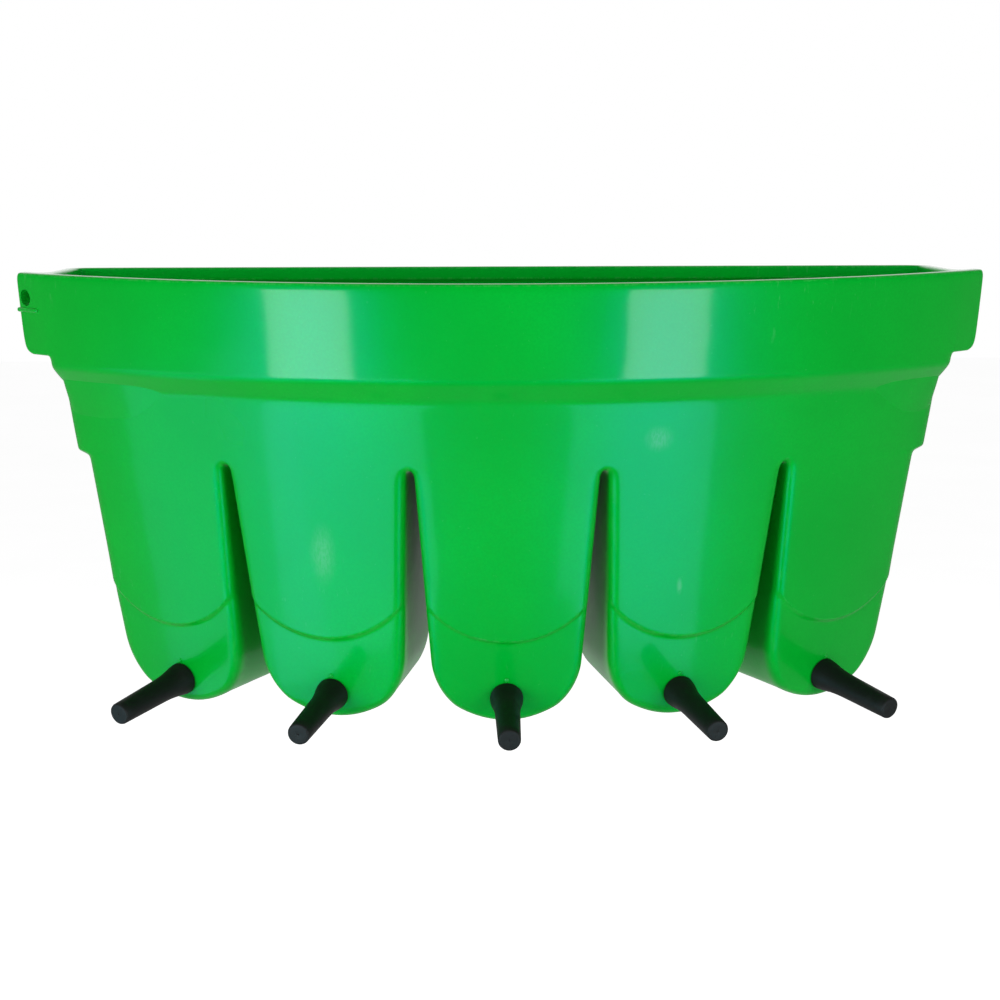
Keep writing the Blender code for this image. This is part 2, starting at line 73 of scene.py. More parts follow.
class TroughSizes(bpy.types.PropertyGroup):
    """Sizes of the moulded tub; its gaps are 6 mm narrower than in CAD, for their rounded edges."""

    rim_radius: measure("Rim radius", 0.692, "Radius of the arched front at the rim")
    tub_height: measure("Height", 0.467, "From the rim to the foot of the pockets")
    tub_depth: measure("Depth", 0.3215, "From the back band to the middle of the rim")
    side_length: measure("Side length", 0.1175, "From the back band to where the arch starts")
    wall: measure("Wall", 0.005, "Thickness of the moulded wall")
    lip: measure("Lip width", 0.010, "Width of the flat top of the rim")
    lip_height: measure("Lip height", 0.014, "Height of the rim's inward lip")
    band_height: measure("Band height", 0.100, "Height of the plain band below the rim")
    ledge_height: measure("Ledge height", 0.021, "Height of the slope below the band")
    basin_depth: measure("Basin depth", 0.187, "From the rim to the floor of the common basin")
    floor_step: measure("Floor step", 0.009, "Height of the step at the tub's ends")
    foot_round: measure("Foot radius", 0.074, "Height of the rounded foot of a pocket")
    slot_top: measure("Gap at the top", 0.0101, "Width of the gap between pockets at its top")
    slot_foot: measure("Gap at the foot", 0.0295, "Width of the gap between pockets at the foot")
    pad_set: measure("Pad set-back", 0.004, "How far the teat's pad lies behind the wall")
    pad_step: measure("Pad step", 0.0045, "Height over which the wall steps back to the pad")


class TeatSizes(bpy.types.PropertyGroup):
    """Sizes of a teat, and how low it sits on the tub."""

    depth: measure("Depth", 0.438, "From the rim down to the middle of a teat's base")
    length: measure("Length", 0.105, "From the tub's wall to the tip")
    base_radius: measure("Base radius", 0.0175, "Radius of the bell against the wall")
    neck_radius: measure("Neck radius", 0.0131, "Radius where the bell ends and the finger starts")
    tip_radius: measure("Tip radius", 0.0118, "Radius at the tip")


class TroughFinish(bpy.types.PropertyGroup):
    """Colours of the tub and of the teats."""

    green: tint("Green", (0.0, 0.435, 0.022), "Colour of the moulded tub")
    rubber: tint("Rubber", (0.006, 0.0075, 0.0065), "Colour of the teats")


# Slopes, tapers, steps, corners and ears of the tub
FRONT_SLOPE = 0.203
BACK_LEDGE = 0.014
BACK_SLOPE = 0.113
BAND_TAPER = 0.011
LEDGE_SET = 0.0175
SIDE_STEP_ANGLE = radians(1.70)
END_HALF_ANGLE = radians(7.69)
SIDE_TOE_IN = 0.014
END_TOE_IN = 0.006
FLOOR_RISE = 0.14
FRONT_ROUNDNESS = 0.48
REAR_ROUNDNESS = 0.40
SLOT_ROUND = 0.003
PAD_ABOVE_TEAT = 0.061
PAD_TOP_RADIUS = 0.107
LIP_UNDERSIDE = 0.003
RIM_EDGE = 0.0015
RIM_ROLL = 0.0016
RIM_ROLL_HEIGHT = 0.010
EAR_ANGLE = radians(3.6)
EAR_DEPTH = 0.088
EAR_CORNER = 0.015
EAR_TOP = 0.006
TILT = atan(FRONT_SLOPE)

# Holes, and the raised bead and pips
HOLE_REACH = 0.010
HOLE_RADIUS = 0.0088
HOLE_DEPTH = 0.027
HOLE_INSET = 0.013
EAR_HOLE_REACH = 0.024
BEAD_RADIUS = 0.0025
BEAD_LENGTH = 0.036
BEAD_DEPTH = 0.040
BEAD_ROUND = 0.0022
PIP_RADIUS = 0.0021
PIP_HEIGHT = 0.0011
PIP_SUNK = 0.002
PIP_ROUND = 0.0008
PIP_ABOVE_TEAT = 0.0205
DETAIL_SIDES = 24

# Finishing of the tub's mesh: its pads, its unevenness and the wear on its edges
PAD_SEARCH = 0.3
PAD_FLATNESS = 0.3
PAD_REACH = 0.026
PAD_FADE = 0.014
RIPPLES_PER_METRE = 45.0
RIPPLE_HEIGHT = 0.00006
WORN_BEND = 60.0
TUB_SMOOTH_ANGLE = 38
TEAT_SMOOTH_ANGLE = 40
SMALL_SMOOTH_ANGLE = 35

# Painted highlights on the front wall, pale patches where reflections fall: pocket, place across
# and depth, half width and half height
HIGHLIGHT_PATCHES = ((1, 0.004, 0.284, 0.017, 0.042), (3, -0.049, 0.161, 0.019, 0.017),
         (3, -0.012, 0.320, 0.004, 0.012))
HIGHLIGHT_PATCH_DEPTH = 0.03

# The trimmed top of the rim is glossier: where that starts and where it is full, below the rim
TRIM_START = 0.0025
TRIM_FULL = 0.0005

# Tones of the finishes: worn plastic and painted highlights, what the gloss of the tub keeps, and
# dusty rubber and the painted highlight on the teats' tips
PALE_GREEN = (0.16, 0.52, 0.22)
GLOSS_TINT = (0.0, 0.20, 1.0)
BLOOM_AND_TIP_LIGHT_GREY = (0.015, 0.015, 0.0145)
GRAIN_GREY = (0.025, 0.025, 0.024)

# Tones of the small fittings
VALVE_WHITE = (0.72, 0.72, 0.68)
SEAL_BLACK = (0.03, 0.03, 0.03)
NUT_GREY = (0.62, 0.62, 0.58)
SEAT_RED = (0.33, 0.05, 0.035)
BALL_STEEL = (0.60, 0.60, 0.58)

# Fittings of a teat, along its axis from the pad's outer face
GAP = 0.0003
WALL_UNDER_PAD = 0.005
VALVE_RADIUS = 0.010
HOLE_IN_TUB = VALVE_RADIUS + 2 * GAP
THREAD_END = 0.008
SPIGOT_RADIUS = 0.0085
SPIGOT_END = 0.034
FLANGE_RADIUS = 0.015
FLANGE_THICKNESS = 0.003
BOSS_RADIUS = 0.009
BOSS_LENGTH = 0.006
NUT_RADIUS = 0.014
NUT_THICKNESS = 0.006
NUT_EDGE = 0.0004
WASHER_THICKNESS = 0.002
BALL_RADIUS = 0.005
BALL_TRAVEL = 0.004
BALL_CLEARANCE = 0.0008
SEAT_THICKNESS = 0.003
SEAT_EDGE = 0.00015
WASHER_TOP = -WALL_UNDER_PAD * cos(TILT) - GAP
FLANGE_TOP = WASHER_TOP - WASHER_THICKNESS - GAP
FLANGE_END = FLANGE_TOP - FLANGE_THICKNESS
VALVE_END = FLANGE_END - BOSS_LENGTH
SEAT_TOP = VALVE_END + SEAT_THICKNESS
SEAT_BORE = 0.72 * BALL_RADIUS
OUTLET_RADIUS = 0.76 * BALL_RADIUS
CHAMBER_RADIUS = BALL_RADIUS + BALL_CLEARANCE
BALL_OPEN = SEAT_TOP + sqrt(BALL_RADIUS**2 - SEAT_BORE**2) + GAP + BALL_TRAVEL
BALL_STOP = BALL_OPEN + sqrt(BALL_RADIUS**2 - OUTLET_RADIUS**2) + GAP
PASSAGE_WIDTH = 0.002
PASSAGE_LENGTH = 0.004
TEAT_BORE = 0.0065
TIP_WALL = 0.004
TIP_HOLE = 0.0005
BASE_ROUND = 0.0006
FINGER_STEPS = 5

# Outline of a teat: how far in and down from its tip's edge, radii and drops of the dimple in
# its tip, and heights of the bell with shares of the way from neck to base
TIP_EDGE = ((0.0022, 0.0), (0.0013, 0.0002), (0.0005, 0.0008), (0.0, 0.0022))
TIP_DIMPLE = ((TIP_HOLE, 0.0004), (0.0016, 0.0))
# Length of the tip face that the rubber paints paler as a painted highlight, and its fade
TIP_FACE = 0.004
TIP_FACE_FADE = 0.003
BELL = ((0.040, 0.0), (0.034, 0.06), (0.028, 0.14), (0.023, 0.27), (0.018, 0.44),
        (0.0135, 0.64), (0.009, 0.82), (0.006, 0.91), (0.003, 0.98))

# Stage: the camera stands where the photograph was taken from
CAMERA_PLACE = (-0.0742, -2.8813, 0.2094)
CAMERA_LENS = 93.6
CAMERA_REACH = 60.0
CAMERA_YAW = 1.46
CAMERA_DOWN = 8.31
CAMERA_ROLL = -0.11
FLOOR_Z = -1.15
FLOOR_SIZE = 24.0
FLOOR_LIFT = 0.78
FLOOR_IN_GLOSS = 0.1
WORLD_LEVEL = 0.24
GLOSSY_FRONT = 0.12
WHITE = (1.0, 1.0, 1.0)
COOL = (0.20, 0.75, 1.0)

# Lamps: azimuth and elevation in degrees, distance, width, height and power, and for those that
# only show as reflections their colour
LAMP_AIM = Vector((0.0, -0.30, -0.10))
LAMPS = {"key_lamp": (-44.0, 4.0, 3.4, 1.3, 2.2, 67.0),
         "fill_lamp": (40.0, 5.0, 3.4, 1.2, 2.2, 53.5),
         "back_lamp": (180.0, 38.0, 3.4, 2.4, 1.4, 38.0)}
REFLECTED_LAMPS = {"left_box": (-42.2, -13.5, 2.05, 0.61, 0.72, 25.0, WHITE),
                   "right_box": (37.0, -13.5, 2.05, 0.62, 0.72, 22.0, WHITE),
                   "low_left": (-40.0, -31.0, 1.35, 0.9, 0.5, 8.5, COOL),
                   "low_right": (37.0, -31.0, 1.35, 0.8, 0.5, 8.0, COOL),
                   "low_side": (-74.0, -27.0, 1.35, 0.9, 0.8, 6.5, COOL)}

# Control cage of the tub: columns as shares across a pocket, rings behind the front's edges,
# how far those edges are drawn in, and the number of rows in a foot
SHARES = (-1.0, -0.84, -0.45, 0.0, 0.45, 0.84, 1.0)
NEAR_RINGS = (0.0055, 0.017)
OUTER_CHAMFER = 0.0055
INNER_CHAMFER = 0.0025
FOOT_ROWS = 5

# Rows that run plainly round the cage, by their depth below the rim
RIM_ROW = 0.0045
BAND_ROW = 0.040
WALL_ROW = 0.156
POCKET_ROWS = (0.245, 0.290)
INNER_BAND_ROW = 0.060
INNER_POCKET_ROWS = (0.275, 0.340, 0.372)

# Distances of the rows that hold an edge from that edge
LIP_EDGE = 0.003
LIP_CORNER = 0.0001
LIP_FOOT = 0.008
EAR_EDGE = 0.003
EAR_CORNER_EDGE = 0.008
BAND_EDGE = 0.006
FLOOR_EDGE = 0.017
POCKET_EDGE = 0.010
SHELF = 0.0025
STEP_EDGE = 0.005

# Rows beside a pad's step, by their depth below it, with how far each follows the step's arc
PAD_ROWS = {-0.040: 0.5, -0.008: 1.0, -0.0025: 1.0, 0.0025: 1.0, 0.008: 1.0}

# Rows beside the ledge's foot, by their depth below it, with their rise at the tub's two ends
LEDGE_LIFTS = {-0.006: 0.001, 0.0: 0.003, 0.007: 0.003}


def sizes():
    return bpy.context.scene.trough_sizes


def teat_sizes():
    return bpy.context.scene.teat_sizes


def between(low, high, share):
    return low + (high - low) * share


def soft_step(x):
    x = min(max(x, 0.0), 1.0)
    return x * x * (3.0 - 2.0 * x)


def arc_centre():
    return sizes().rim_radius - sizes().tub_depth


def side_angle():
    return acos((arc_centre() + sizes().side_length) / sizes().rim_radius)


def pitch():
    """Angle from one pocket to the next."""
    return (side_angle() - SIDE_STEP_ANGLE - END_HALF_ANGLE) / MIDDLE


def pocket_angle(pocket):
    return (pocket - MIDDLE) * pitch()


def ledge_end():
    return sizes().band_height + sizes().ledge_height


def spring():
    """Depth below the rim at which the feet start to round."""
    return sizes().tub_height - sizes().foot_round


def front_radius(depth):
    """Radius of the arched front at a depth: three straight stretches, rolled in at the rim."""
    band_radius = sizes().rim_radius - BAND_TAPER
    ledge_radius = band_radius - LEDGE_SET
    if depth <= sizes().band_height:
        radius = between(sizes().rim_radius, band_radius, max(depth, 0.0) / sizes().band_height)
        return radius - RIM_ROLL * max(1.0 - depth / RIM_ROLL_HEIGHT, 0.0)**2
    if depth <= ledge_end():
        share = (depth - sizes().band_height) / sizes().ledge_height
        return between(band_radius, ledge_radius, share)
    return ledge_radius - FRONT_SLOPE * (depth - ledge_end())


def back_line(depth):
    """Y of the back wall at a depth below the rim."""
    if depth <= sizes().band_height:
        return 0.0
    if depth <= ledge_end():
        return -BACK_LEDGE * (depth - sizes().band_height) / sizes().ledge_height
    return -BACK_LEDGE - BACK_SLOPE * (depth - ledge_end())


def half_beside_gap(depth, gap):
    """Half width of a pocket's front at a depth, with a gap between it and the next."""
    half = pitch() / 2
    return (front_radius(depth) * sin(half) - gap / 2) / cos(half)


def rounded_square(s, t, roundness):
    """Point of a square, s across and t down, pulled in to a rounded foot."""
    return s * sqrt(1.0 - roundness * t * t), t * sqrt(1.0 - roundness * s * s)


def is_end(pocket, side):
    return (pocket == 0 and side < 0) or (pocket == POCKETS - 1 and side > 0)


def pad_line(across):
    """Depth at which a pocket's front wall steps back to the pad of its teat."""
    top = teat_sizes().depth - PAD_ABOVE_TEAT
    return top - PAD_TOP_RADIUS + sqrt(max(PAD_TOP_RADIUS**2 - across**2, 0.0))


def arc_point(angle, depth, inset=0.0):
    """Point on the arched front, or an inset behind it, at an angle and a depth below the rim."""
    radius = front_radius(depth) - inset
    return Vector((radius * sin(angle), arc_centre() - radius * cos(angle), RIM_Z - depth))


class Skin:
    """Outer or inner surface of the tub: a place for each column and row of its cage."""

    def __init__(self, inset, depths, lip=None):
        self.inset = inset
        self.depths = depths
        self.lip = lip
        self.floor = sizes().basin_depth + sizes().floor_step - inset
        row = depths.index(self.floor)
        shelf = self.floor - SHELF
        self.end_depths = {row - 2: shelf - STEP_EDGE, row - 1: shelf,
                           row + 1: self.floor + STEP_EDGE}
        self.dips = {n: weight for n, depth in enumerate(depths)
                     for shift, weight in PAD_ROWS.items() if depth == pad_line(0.0) + shift}
        self.lifts = {n: lift for n, depth in enumerate(depths)
                      for shift, lift in LEDGE_LIFTS.items() if depth == ledge_end() + shift}
        self.half_top = half_beside_gap(sizes().basin_depth, sizes().slot_top)
        self.half_foot = half_beside_gap(spring(), sizes().slot_foot)

    def wall(self, depth):
        """How far this skin lies behind the outer surface."""
        if self.lip and depth < sizes().lip_height:
            return self.lip
        return self.inset

    def above_step(self, depth):
        """Whether a depth is above the step at the tub's ends."""
        return depth < self.floor - SHELF / 2

    def half_width(self, pocket, side, depth):
        if is_end(pocket, side):
            end = side_angle() if self.above_step(depth) else side_angle() - SIDE_STEP_ANGLE
            half = front_radius(depth) * sin(end - abs(pocket_angle(pocket)))
            return half - self.wall(depth)
        share = (depth - sizes().basin_depth) / (spring() - sizes().basin_depth)
        share = min(max(share, 0.0), 1.0)
        return between(self.half_top, self.half_foot, share) - self.inset

    def front_point(self, pocket, across, depth):
        radius = front_radius(depth) - self.wall(depth)
        out = sqrt(radius * radius - across * across)
        angle = pocket_angle(pocket)
        x = out * sin(angle) + across * cos(angle)
        y = -out * cos(angle) + across * sin(angle) + arc_centre()
        return Vector((x, y, RIM_Z - depth))

    def rear_edge(self, pocket, side, depth):
        """X at which a pocket's side wall meets the back wall."""
        corner = self.front_point(pocket, side * self.half_width(pocket, side, depth), depth)
        if is_end(pocket, side):
            return corner.x - side * (SIDE_TOE_IN if self.above_step(depth) else END_TOE_IN)
        heading = pocket_angle(pocket) + side * pitch() / 2
        run = (back_line(depth) - self.wall(depth) - corner.y) / cos(heading)
        return corner.x - run * sin(heading)

    def foot(self, row):
        return max(row - len(self.depths) + 1, 0) / FOOT_ROWS

    def depth_of(self, row):
        return self.depths[min(row, len(self.depths) - 1)]

    def beside(self, pocket, side, row):
        """Depth of a row on one side of a pocket; a tub's end has its step just above the floor."""
        if is_end(pocket, side) and row in self.end_depths:
            return self.end_depths[row]
        return self.depth_of(row)

    def lift(self, pocket, s, row):
        """How much higher the ledge lies at the tub's two ends."""
        at_end = abs(s) == 1.0 and is_end(pocket, s)
        return UP * (self.lifts.get(row, 0.0) if at_end else 0.0)

    def front(self, pocket, s, row):
        side = 1.0 if s > 0 else -1.0
        depth = self.beside(pocket, side, row)
        wide, down = rounded_square(s, self.foot(row), FRONT_ROUNDNESS)
        drop = (sizes().foot_round - self.inset) * down
        across = wide * self.half_width(pocket, side, depth)
        depth += self.dips.get(row, 0.0) * (pad_line(across) - pad_line(0.0))
        across = wide * self.half_width(pocket, side, depth)
        return self.front_point(pocket, across, depth + drop) + self.lift(pocket, s, row)

    def back(self, pocket, s, row):
        depth = self.beside(pocket, 1.0 if s > 0 else -1.0, row)
        wide, down = rounded_square(s, self.foot(row), REAR_ROUNDNESS)
        height = sizes().tub_height
        run = back_line(height) - self.front_point(pocket, 0.0, height).y
        run /= cos(pocket_angle(pocket))
        drop = (sizes().foot_round - self.inset - FLOOR_RISE * run) * down
        left = self.rear_edge(pocket, -1.0, depth)
        right = self.rear_edge(pocket, 1.0, depth)
        level = depth + drop
        x = between(left, right, (wide + 1.0) / 2.0)
        place = Vector((x, back_line(level) - self.wall(level), RIM_Z - level))
        return place + self.lift(pocket, s, row)

    def slot(self, pocket, row, back):
        """Middle of the gap on the right of a pocket; its roof is arched."""
        place = self.back if back else self.front
        middle = (place(pocket, 1.0, row) + place(pocket + 1, -1.0, row)) / 2
        depth = self.depth_of(row)
        if depth >= self.floor:
            middle.z += SLOT_ROUND
        if not back:
            angle = pocket_angle(pocket) + pitch() / 2
            middle.xy = arc_point(angle, depth, self.wall(depth)).xy
        return middle


def outer_rows():
    """Depths of the outer cage's rows down to where the feet start to round."""
    band, ledge = sizes().band_height, ledge_end()
    floor = sizes().basin_depth + sizes().floor_step
    corner = EAR_DEPTH - EAR_CORNER
    rows = [RIM_EDGE, RIM_ROW, RIM_ROLL_HEIGHT, BAND_ROW]
    rows += [corner, corner + EAR_CORNER_EDGE, EAR_DEPTH - EAR_EDGE, EAR_DEPTH]
    rows += [band - BAND_EDGE, band, band + BAND_EDGE]
    rows += [ledge + shift for shift in LEDGE_LIFTS]
    rows += [WALL_ROW, floor - FLOOR_EDGE, sizes().basin_depth, floor, floor + POCKET_EDGE]
    rows += POCKET_ROWS
    rows += [pad_line(0.0) + shift for shift in PAD_ROWS]
    return rows + [spring()]


def inner_rows(inset):
    """Depths of the inner cage's rows, from the lip down."""
    lip = sizes().lip_height
    floor = sizes().basin_depth + sizes().floor_step - inset
    rows = [RIM_EDGE, lip - LIP_EDGE, lip - LIP_CORNER, lip + LIP_UNDERSIDE, lip + LIP_FOOT]
    rows += [INNER_BAND_ROW, sizes().band_height, ledge_end(), floor - sizes().floor_step]
    return rows + [floor, floor + POCKET_EDGE, *INNER_POCKET_ROWS, spring()]


def column_list():
    columns = []
    for pocket in range(POCKETS):
        columns += [(pocket, share) for share in SHARES]
        if pocket < POCKETS - 1:
            columns.append((pocket, None))
    return columns


def deselect():
    bpy.ops.object.select_all(action="DESELECT")


def flat_grid(skin):
    """A flat grid primitive with a column and a row for each of the cage's."""
    columns = column_list()
    last_row = len(skin.depths) - 1 + FOOT_ROWS
    across = len(columns) - 1
    deselect()
    bpy.ops.mesh.primitive_grid_add(x_subdivisions=across, y_subdivisions=last_row, size=2.0)
    made = bpy.context.object
    bm = bmesh.new()
    bm.from_mesh(made.data)
    bpy.data.objects.remove(made, do_unlink=True)
    return bm, columns, last_row, across


def grid_key(vert, across, last_row):
    """Column and row of a vert of the flat grid."""
    return round((vert.co.x + 1.0) / 2.0 * across), round((1.0 - vert.co.y) / 2.0 * last_row)


def add_sheet(bm, skin, back):
    """Adds a skin's front or back to the cage, with the gaps left out, and returns its verts."""
    source, columns, last_row, across = flat_grid(skin)
    slot_row = skin.depths.index(skin.floor)
    slot_columns = {n for n, (pocket, s) in enumerate(columns) if s is None}
    points = {}
    for vert in source.verts:
        column, row = grid_key(vert, across, last_row)
        pocket, s = columns[column]
        if s is None:
            if row > slot_row:
                continue
            spot = skin.slot(pocket, row, back)
        else:
            spot = skin.back(pocket, s, row) if back else skin.front(pocket, s, row)
        points[(column, row)] = bm.verts.new(spot)
    for face in source.faces:
        keys = [grid_key(vert, across, last_row) for vert in face.verts]
        touches_slot = any(column in slot_columns for column, row in keys)
        if touches_slot and max(row for column, row in keys) > slot_row:
            continue
        bm.faces.new([points[key] for key in keys])
    source.free()
    return points


def open_edges(points):
    """A sheet's open edges, in order, without those along the rim."""
    rim = {vert for (column, row), vert in points.items() if row == 0}
    return dict.fromkeys(e for v in points.values() for e in v.link_edges
                         if e.is_boundary and not (e.verts[0] in rim and e.verts[1] in rim))


def ends_of(edges):
    """Verts of some edges, once each and in order."""
    return list(dict.fromkeys(vert for edge in edges for vert in edge.verts))


def drawn_in(vert, edges):
    """Direction from a sheet's edge into the sheet."""
    pull = Vector()
    for edge in vert.link_edges:
        if edge in edges:
            middle = (edge.verts[0].co + edge.verts[1].co) / 2
            along = (edge.verts[1].co - edge.verts[0].co).normalized()
            side = edge.link_faces[0].calc_center_median() - middle
            pull += (side - along * side.dot(along)).normalized()
    return pull.normalized()


def add_skin(bm, skin, chamfer, ears):
    """Adds a skin's cage: two sheets with drawn-in edges, and rings of wall between them."""
    front = add_sheet(bm, skin, back=False)
    back = add_sheet(bm, skin, back=True)
    partner = {front[key]: back[key] for key in front}
    last = len(column_list()) - 1
    ear_rows = [row for row, depth in enumerate(skin.depths) if depth <= EAR_DEPTH + TOLERANCE]
    on_ear = {front[(c, row)] for c in (0, last) for row in ear_rows} if ears else set()
    front_edges = open_edges(front)
    outline = {}
    moves = {}
    for edges in (front_edges, open_edges(back)):
        for vert in ends_of(edges):
            outline[vert] = vert.co.copy()
            if vert not in on_ear:
                moves[vert] = drawn_in(vert, edges) * chamfer
    for vert, move in moves.items():
        vert.co += move
    chains = {}
    for vert in ends_of(front_edges):
        start, end = outline[vert], outline[partner[vert]]
        unit = (end - start).normalized()
        places = [start + unit * d for d in NEAR_RINGS]
        places.append(between(start, end, 0.5))
        places += [end - unit * d for d in reversed(NEAR_RINGS)]
        chains[vert] = [vert] + [bm.verts.new(p) for p in places] + [partner[vert]]
    strips = {-1.0: [], 1.0: []}
    for edge in front_edges:
        one, two = edge.verts
        for n in range(len(chains[one]) - 1):
            face = bm.faces.new((chains[two][n], chains[one][n],
                                 chains[one][n + 1], chains[two][n + 1]))
            if n < len(NEAR_RINGS) and one in on_ear and two in on_ear:
                strips[1.0 if one.co.x > 0 else -1.0].append(face)
    top = {}
    for (column, row), vert in front.items():
        if row == 0:
            top[vert] = ("front", column)
            top[partner[vert]] = ("back", column)
    for column in (0, last):
        for n, vert in enumerate(chains[front[(column, 0)]][1:-1]):
            top[vert] = ("ring", column, n)
    if ears:
        for side, faces in strips.items():
            grow_ear(bm, side, faces)
    return {key: vert for vert, key in top.items() if vert.is_valid}


def grow_ear(bm, side, faces):
    """Extrudes the strip behind the band's corner round the arc in steps, as a flat ear."""
    centre = Vector((0.0, arc_centre(), 0.0))
    length = EAR_ANGLE * sizes().rim_radius
    steps = (EAR_EDGE, length / 2, length - EAR_EDGE, length)
    reached = 0.0
    top = RIM_Z - RIM_EDGE
    for step in steps:
        grown = bmesh.ops.extrude_face_region(bm, geom=faces)
        bmesh.ops.delete(bm, geom=[f for f in faces if f.is_valid], context="FACES_ONLY")
        verts = [v for v in grown["geom"] if isinstance(v, bmesh.types.BMVert)]
        faces = [f for f in grown["geom"] if isinstance(f, bmesh.types.BMFace)]
        for vert in verts:
            depth = RIM_Z - vert.co.z
            low = max(depth - (EAR_DEPTH - EAR_CORNER), 0.0)
            high = max(EAR_TOP - depth, 0.0)
            limit = length - EAR_CORNER + sqrt(max(EAR_CORNER**2 - low**2, 0.0))
            limit -= EAR_TOP - sqrt(EAR_TOP**2 - high**2)
            move = (step - reached) * limit / length
            turn = Matrix.Rotation(side * move / sizes().rim_radius, 4, "Z")
            vert.co = centre + turn @ (vert.co - centre)
        reached = step
        lids = {f for v in verts for f in v.link_faces
                if all(w.co.z > top - TOLERANCE for w in f.verts)}
        bmesh.ops.delete(bm, geom=list(lids), context="FACES_ONLY")
        loose = [e for e in bm.edges if not e.link_faces]
        bmesh.ops.delete(bm, geom=loose, context="EDGES")


def open_loop(start):
    """Verts in order round the open edge that a vert lies on."""
    loop = [start]
    previous, current = None, start
    while True:
        ahead = [e.other_vert(current) for e in current.link_edges if e.is_boundary]
        ahead = [v for v in ahead if v is not previous]
        previous, current = current, ahead[0]
        if current is start:
            return loop
        loop.append(current)


def turn_over(bm, loop, inset):
    """Adds the rim's rounded edge: a ring above an open loop, drawn in by an inset."""
    area = sum(a.co.x * b.co.y - b.co.x * a.co.y for a, b in zip(loop, loop[1:] + loop[:1]))
    sign = 1.0 if area > 0 else -1.0
    raised = []
    for n, vert in enumerate(loop):
        along = loop[(n + 1) % len(loop)].co - loop[n - 1].co
        side = Vector((-along.y, along.x, 0.0)).normalized() * sign * inset
        raised.append(bm.verts.new(vert.co + side + UP * RIM_EDGE))
    for n in range(len(loop)):
        m = (n + 1) % len(loop)
        bm.faces.new((loop[n], loop[m], raised[m], raised[n]))
    return dict(zip(loop, raised))


def close_rim(bm, outer, inner):
    """Flat top of the rim between the outer and the inner skin, with the ears' tops."""
    outer_loop = open_loop(outer[("front", 0)])
    inner_loop = open_loop(inner[("front", 0)])
    outer_up = turn_over(bm, outer_loop, RIM_EDGE)
    inner_up = turn_over(bm, inner_loop, -RIM_EDGE)
    order = {vert: n for n, vert in enumerate(outer_loop)}
    keys = {vert: key for key, vert in inner.items()}
    count = len(inner_loop)
    anchors = [n for n, v in enumerate(inner_loop) if outer.get(keys[v]) in order]
    size = len(outer_loop)
    first, second = (order[outer[keys[inner_loop[n]]]] for n in anchors[:2])
    forward = (second - first) % size < size / 2
    for one, two in zip(anchors, anchors[1:] + [anchors[0] + count]):
        near = [inner_up[inner_loop[n % count]] for n in range(one, two + 1)]
        start = order[outer[keys[inner_loop[one % count]]]]
        end = order[outer[keys[inner_loop[two % count]]]]
        path = []
        n = start
        while True:
            path.append(outer_up[outer_loop[n]])
            if n == end:
                break
            n = (n + (1 if forward else -1)) % size
        bm.faces.new(near + path[::-1])


def press_pads(mesh):
    """Steps each pocket's wall back to the pad that its teat bears on."""
    for vert in mesh.vertices:
        depth = RIM_Z - vert.co.z
        if depth < PAD_SEARCH:
            continue
        x, y = vert.co.x, vert.co.y - arc_centre()
        pocket = min(range(POCKETS), key=lambda p: abs(
            x * cos(pocket_angle(p)) + y * sin(pocket_angle(p))))
        angle = pocket_angle(pocket)
        across = x * cos(angle) + y * sin(angle)
        out = x * sin(angle) - y * cos(angle)
        surface = front_radius(min(depth, sizes().tub_height))
        cone = sqrt(surface**2 - across**2)
        near = soft_step((out - cone + PAD_REACH) / PAD_FADE)
        low = soft_step((depth - pad_line(across)) / sizes().pad_step + 0.5)
        move = (PAD_FLATNESS * (cone - surface) + sizes().pad_set) * near * low
        vert.co.x -= move * sin(angle)
        vert.co.y += move * cos(angle)


def tub_mesh():
    """The tub's control cage: outer and inner skin, ears and rim."""
    bm = bmesh.new()
    wall = sizes().wall
    outer = add_skin(bm, Skin(0.0, outer_rows()), OUTER_CHAMFER, ears=True)
    inner_skin = Skin(wall, inner_rows(wall), lip=sizes().lip)
    inner = add_skin(bm, inner_skin, INNER_CHAMFER, ears=False)
    close_rim(bm, outer, inner)
    bmesh.ops.recalc_face_normals(bm, faces=bm.faces[:])
    mesh = bpy.data.meshes.new("tub_moulding")
    bm.to_mesh(mesh)
    bm.free()
    return mesh


def ripple(mesh):
    """Gives the moulded faces their slight unevenness, which softens what they reflect."""
    normals = [vert.normal.copy() for vert in mesh.vertices]
    for vert, normal in zip(mesh.vertices, normals):
        spot = vert.co * RIPPLES_PER_METRE
        vert.co += normal * noise.noise(spot) * RIPPLE_HEIGHT


def note_wear(mesh):
    """Writes how far each vertex stands out, for the wear on the moulding's edges."""
    bm = bmesh.new()
    bm.from_mesh(mesh)
    wear = []
    for vert in bm.verts:
        bend = 0.0
        for edge in vert.link_edges:
            way = vert.co - edge.other_vert(vert).co
            bend += vert.normal.dot(way) / max(way.length_squared, 1e-9)
        bend /= max(len(vert.link_edges), 1)
        wear.append(min(max(bend / WORN_BEND, 0.0), 1.0))
    bm.free()
    attribute = mesh.attributes.new("edge_wear", "FLOAT", "POINT")
    attribute.data.foreach_set("value", wear)


def teat_frame(pocket):
    """Matrix whose origin is on the pad's outer face and whose Z is the teat's axis."""
    angle = pocket_angle(pocket)
    spot = arc_point(angle, teat_sizes().depth, sizes().pad_set)
    axis = Vector((sin(angle) * cos(TILT), -cos(angle) * cos(TILT), -sin(TILT)))
    turn = UP.rotation_difference(axis).to_matrix().to_4x4()
    return Matrix.Translation(spot) @ turn


def ear_frame(inset, depth):
    """Matrix on the left ear's front, an inset from its end: X along the arc, Y in and Z up."""
    angle = -(side_angle() + EAR_ANGLE) + inset / front_radius(depth)
    return Matrix.Translation(arc_point(angle, depth)) @ Matrix.Rotation(angle, 4, "Z")


def pick(piece):
    """Leaves one piece selected and active."""
    deselect()
    piece.select_set(True)
    bpy.context.view_layer.objects.active = piece


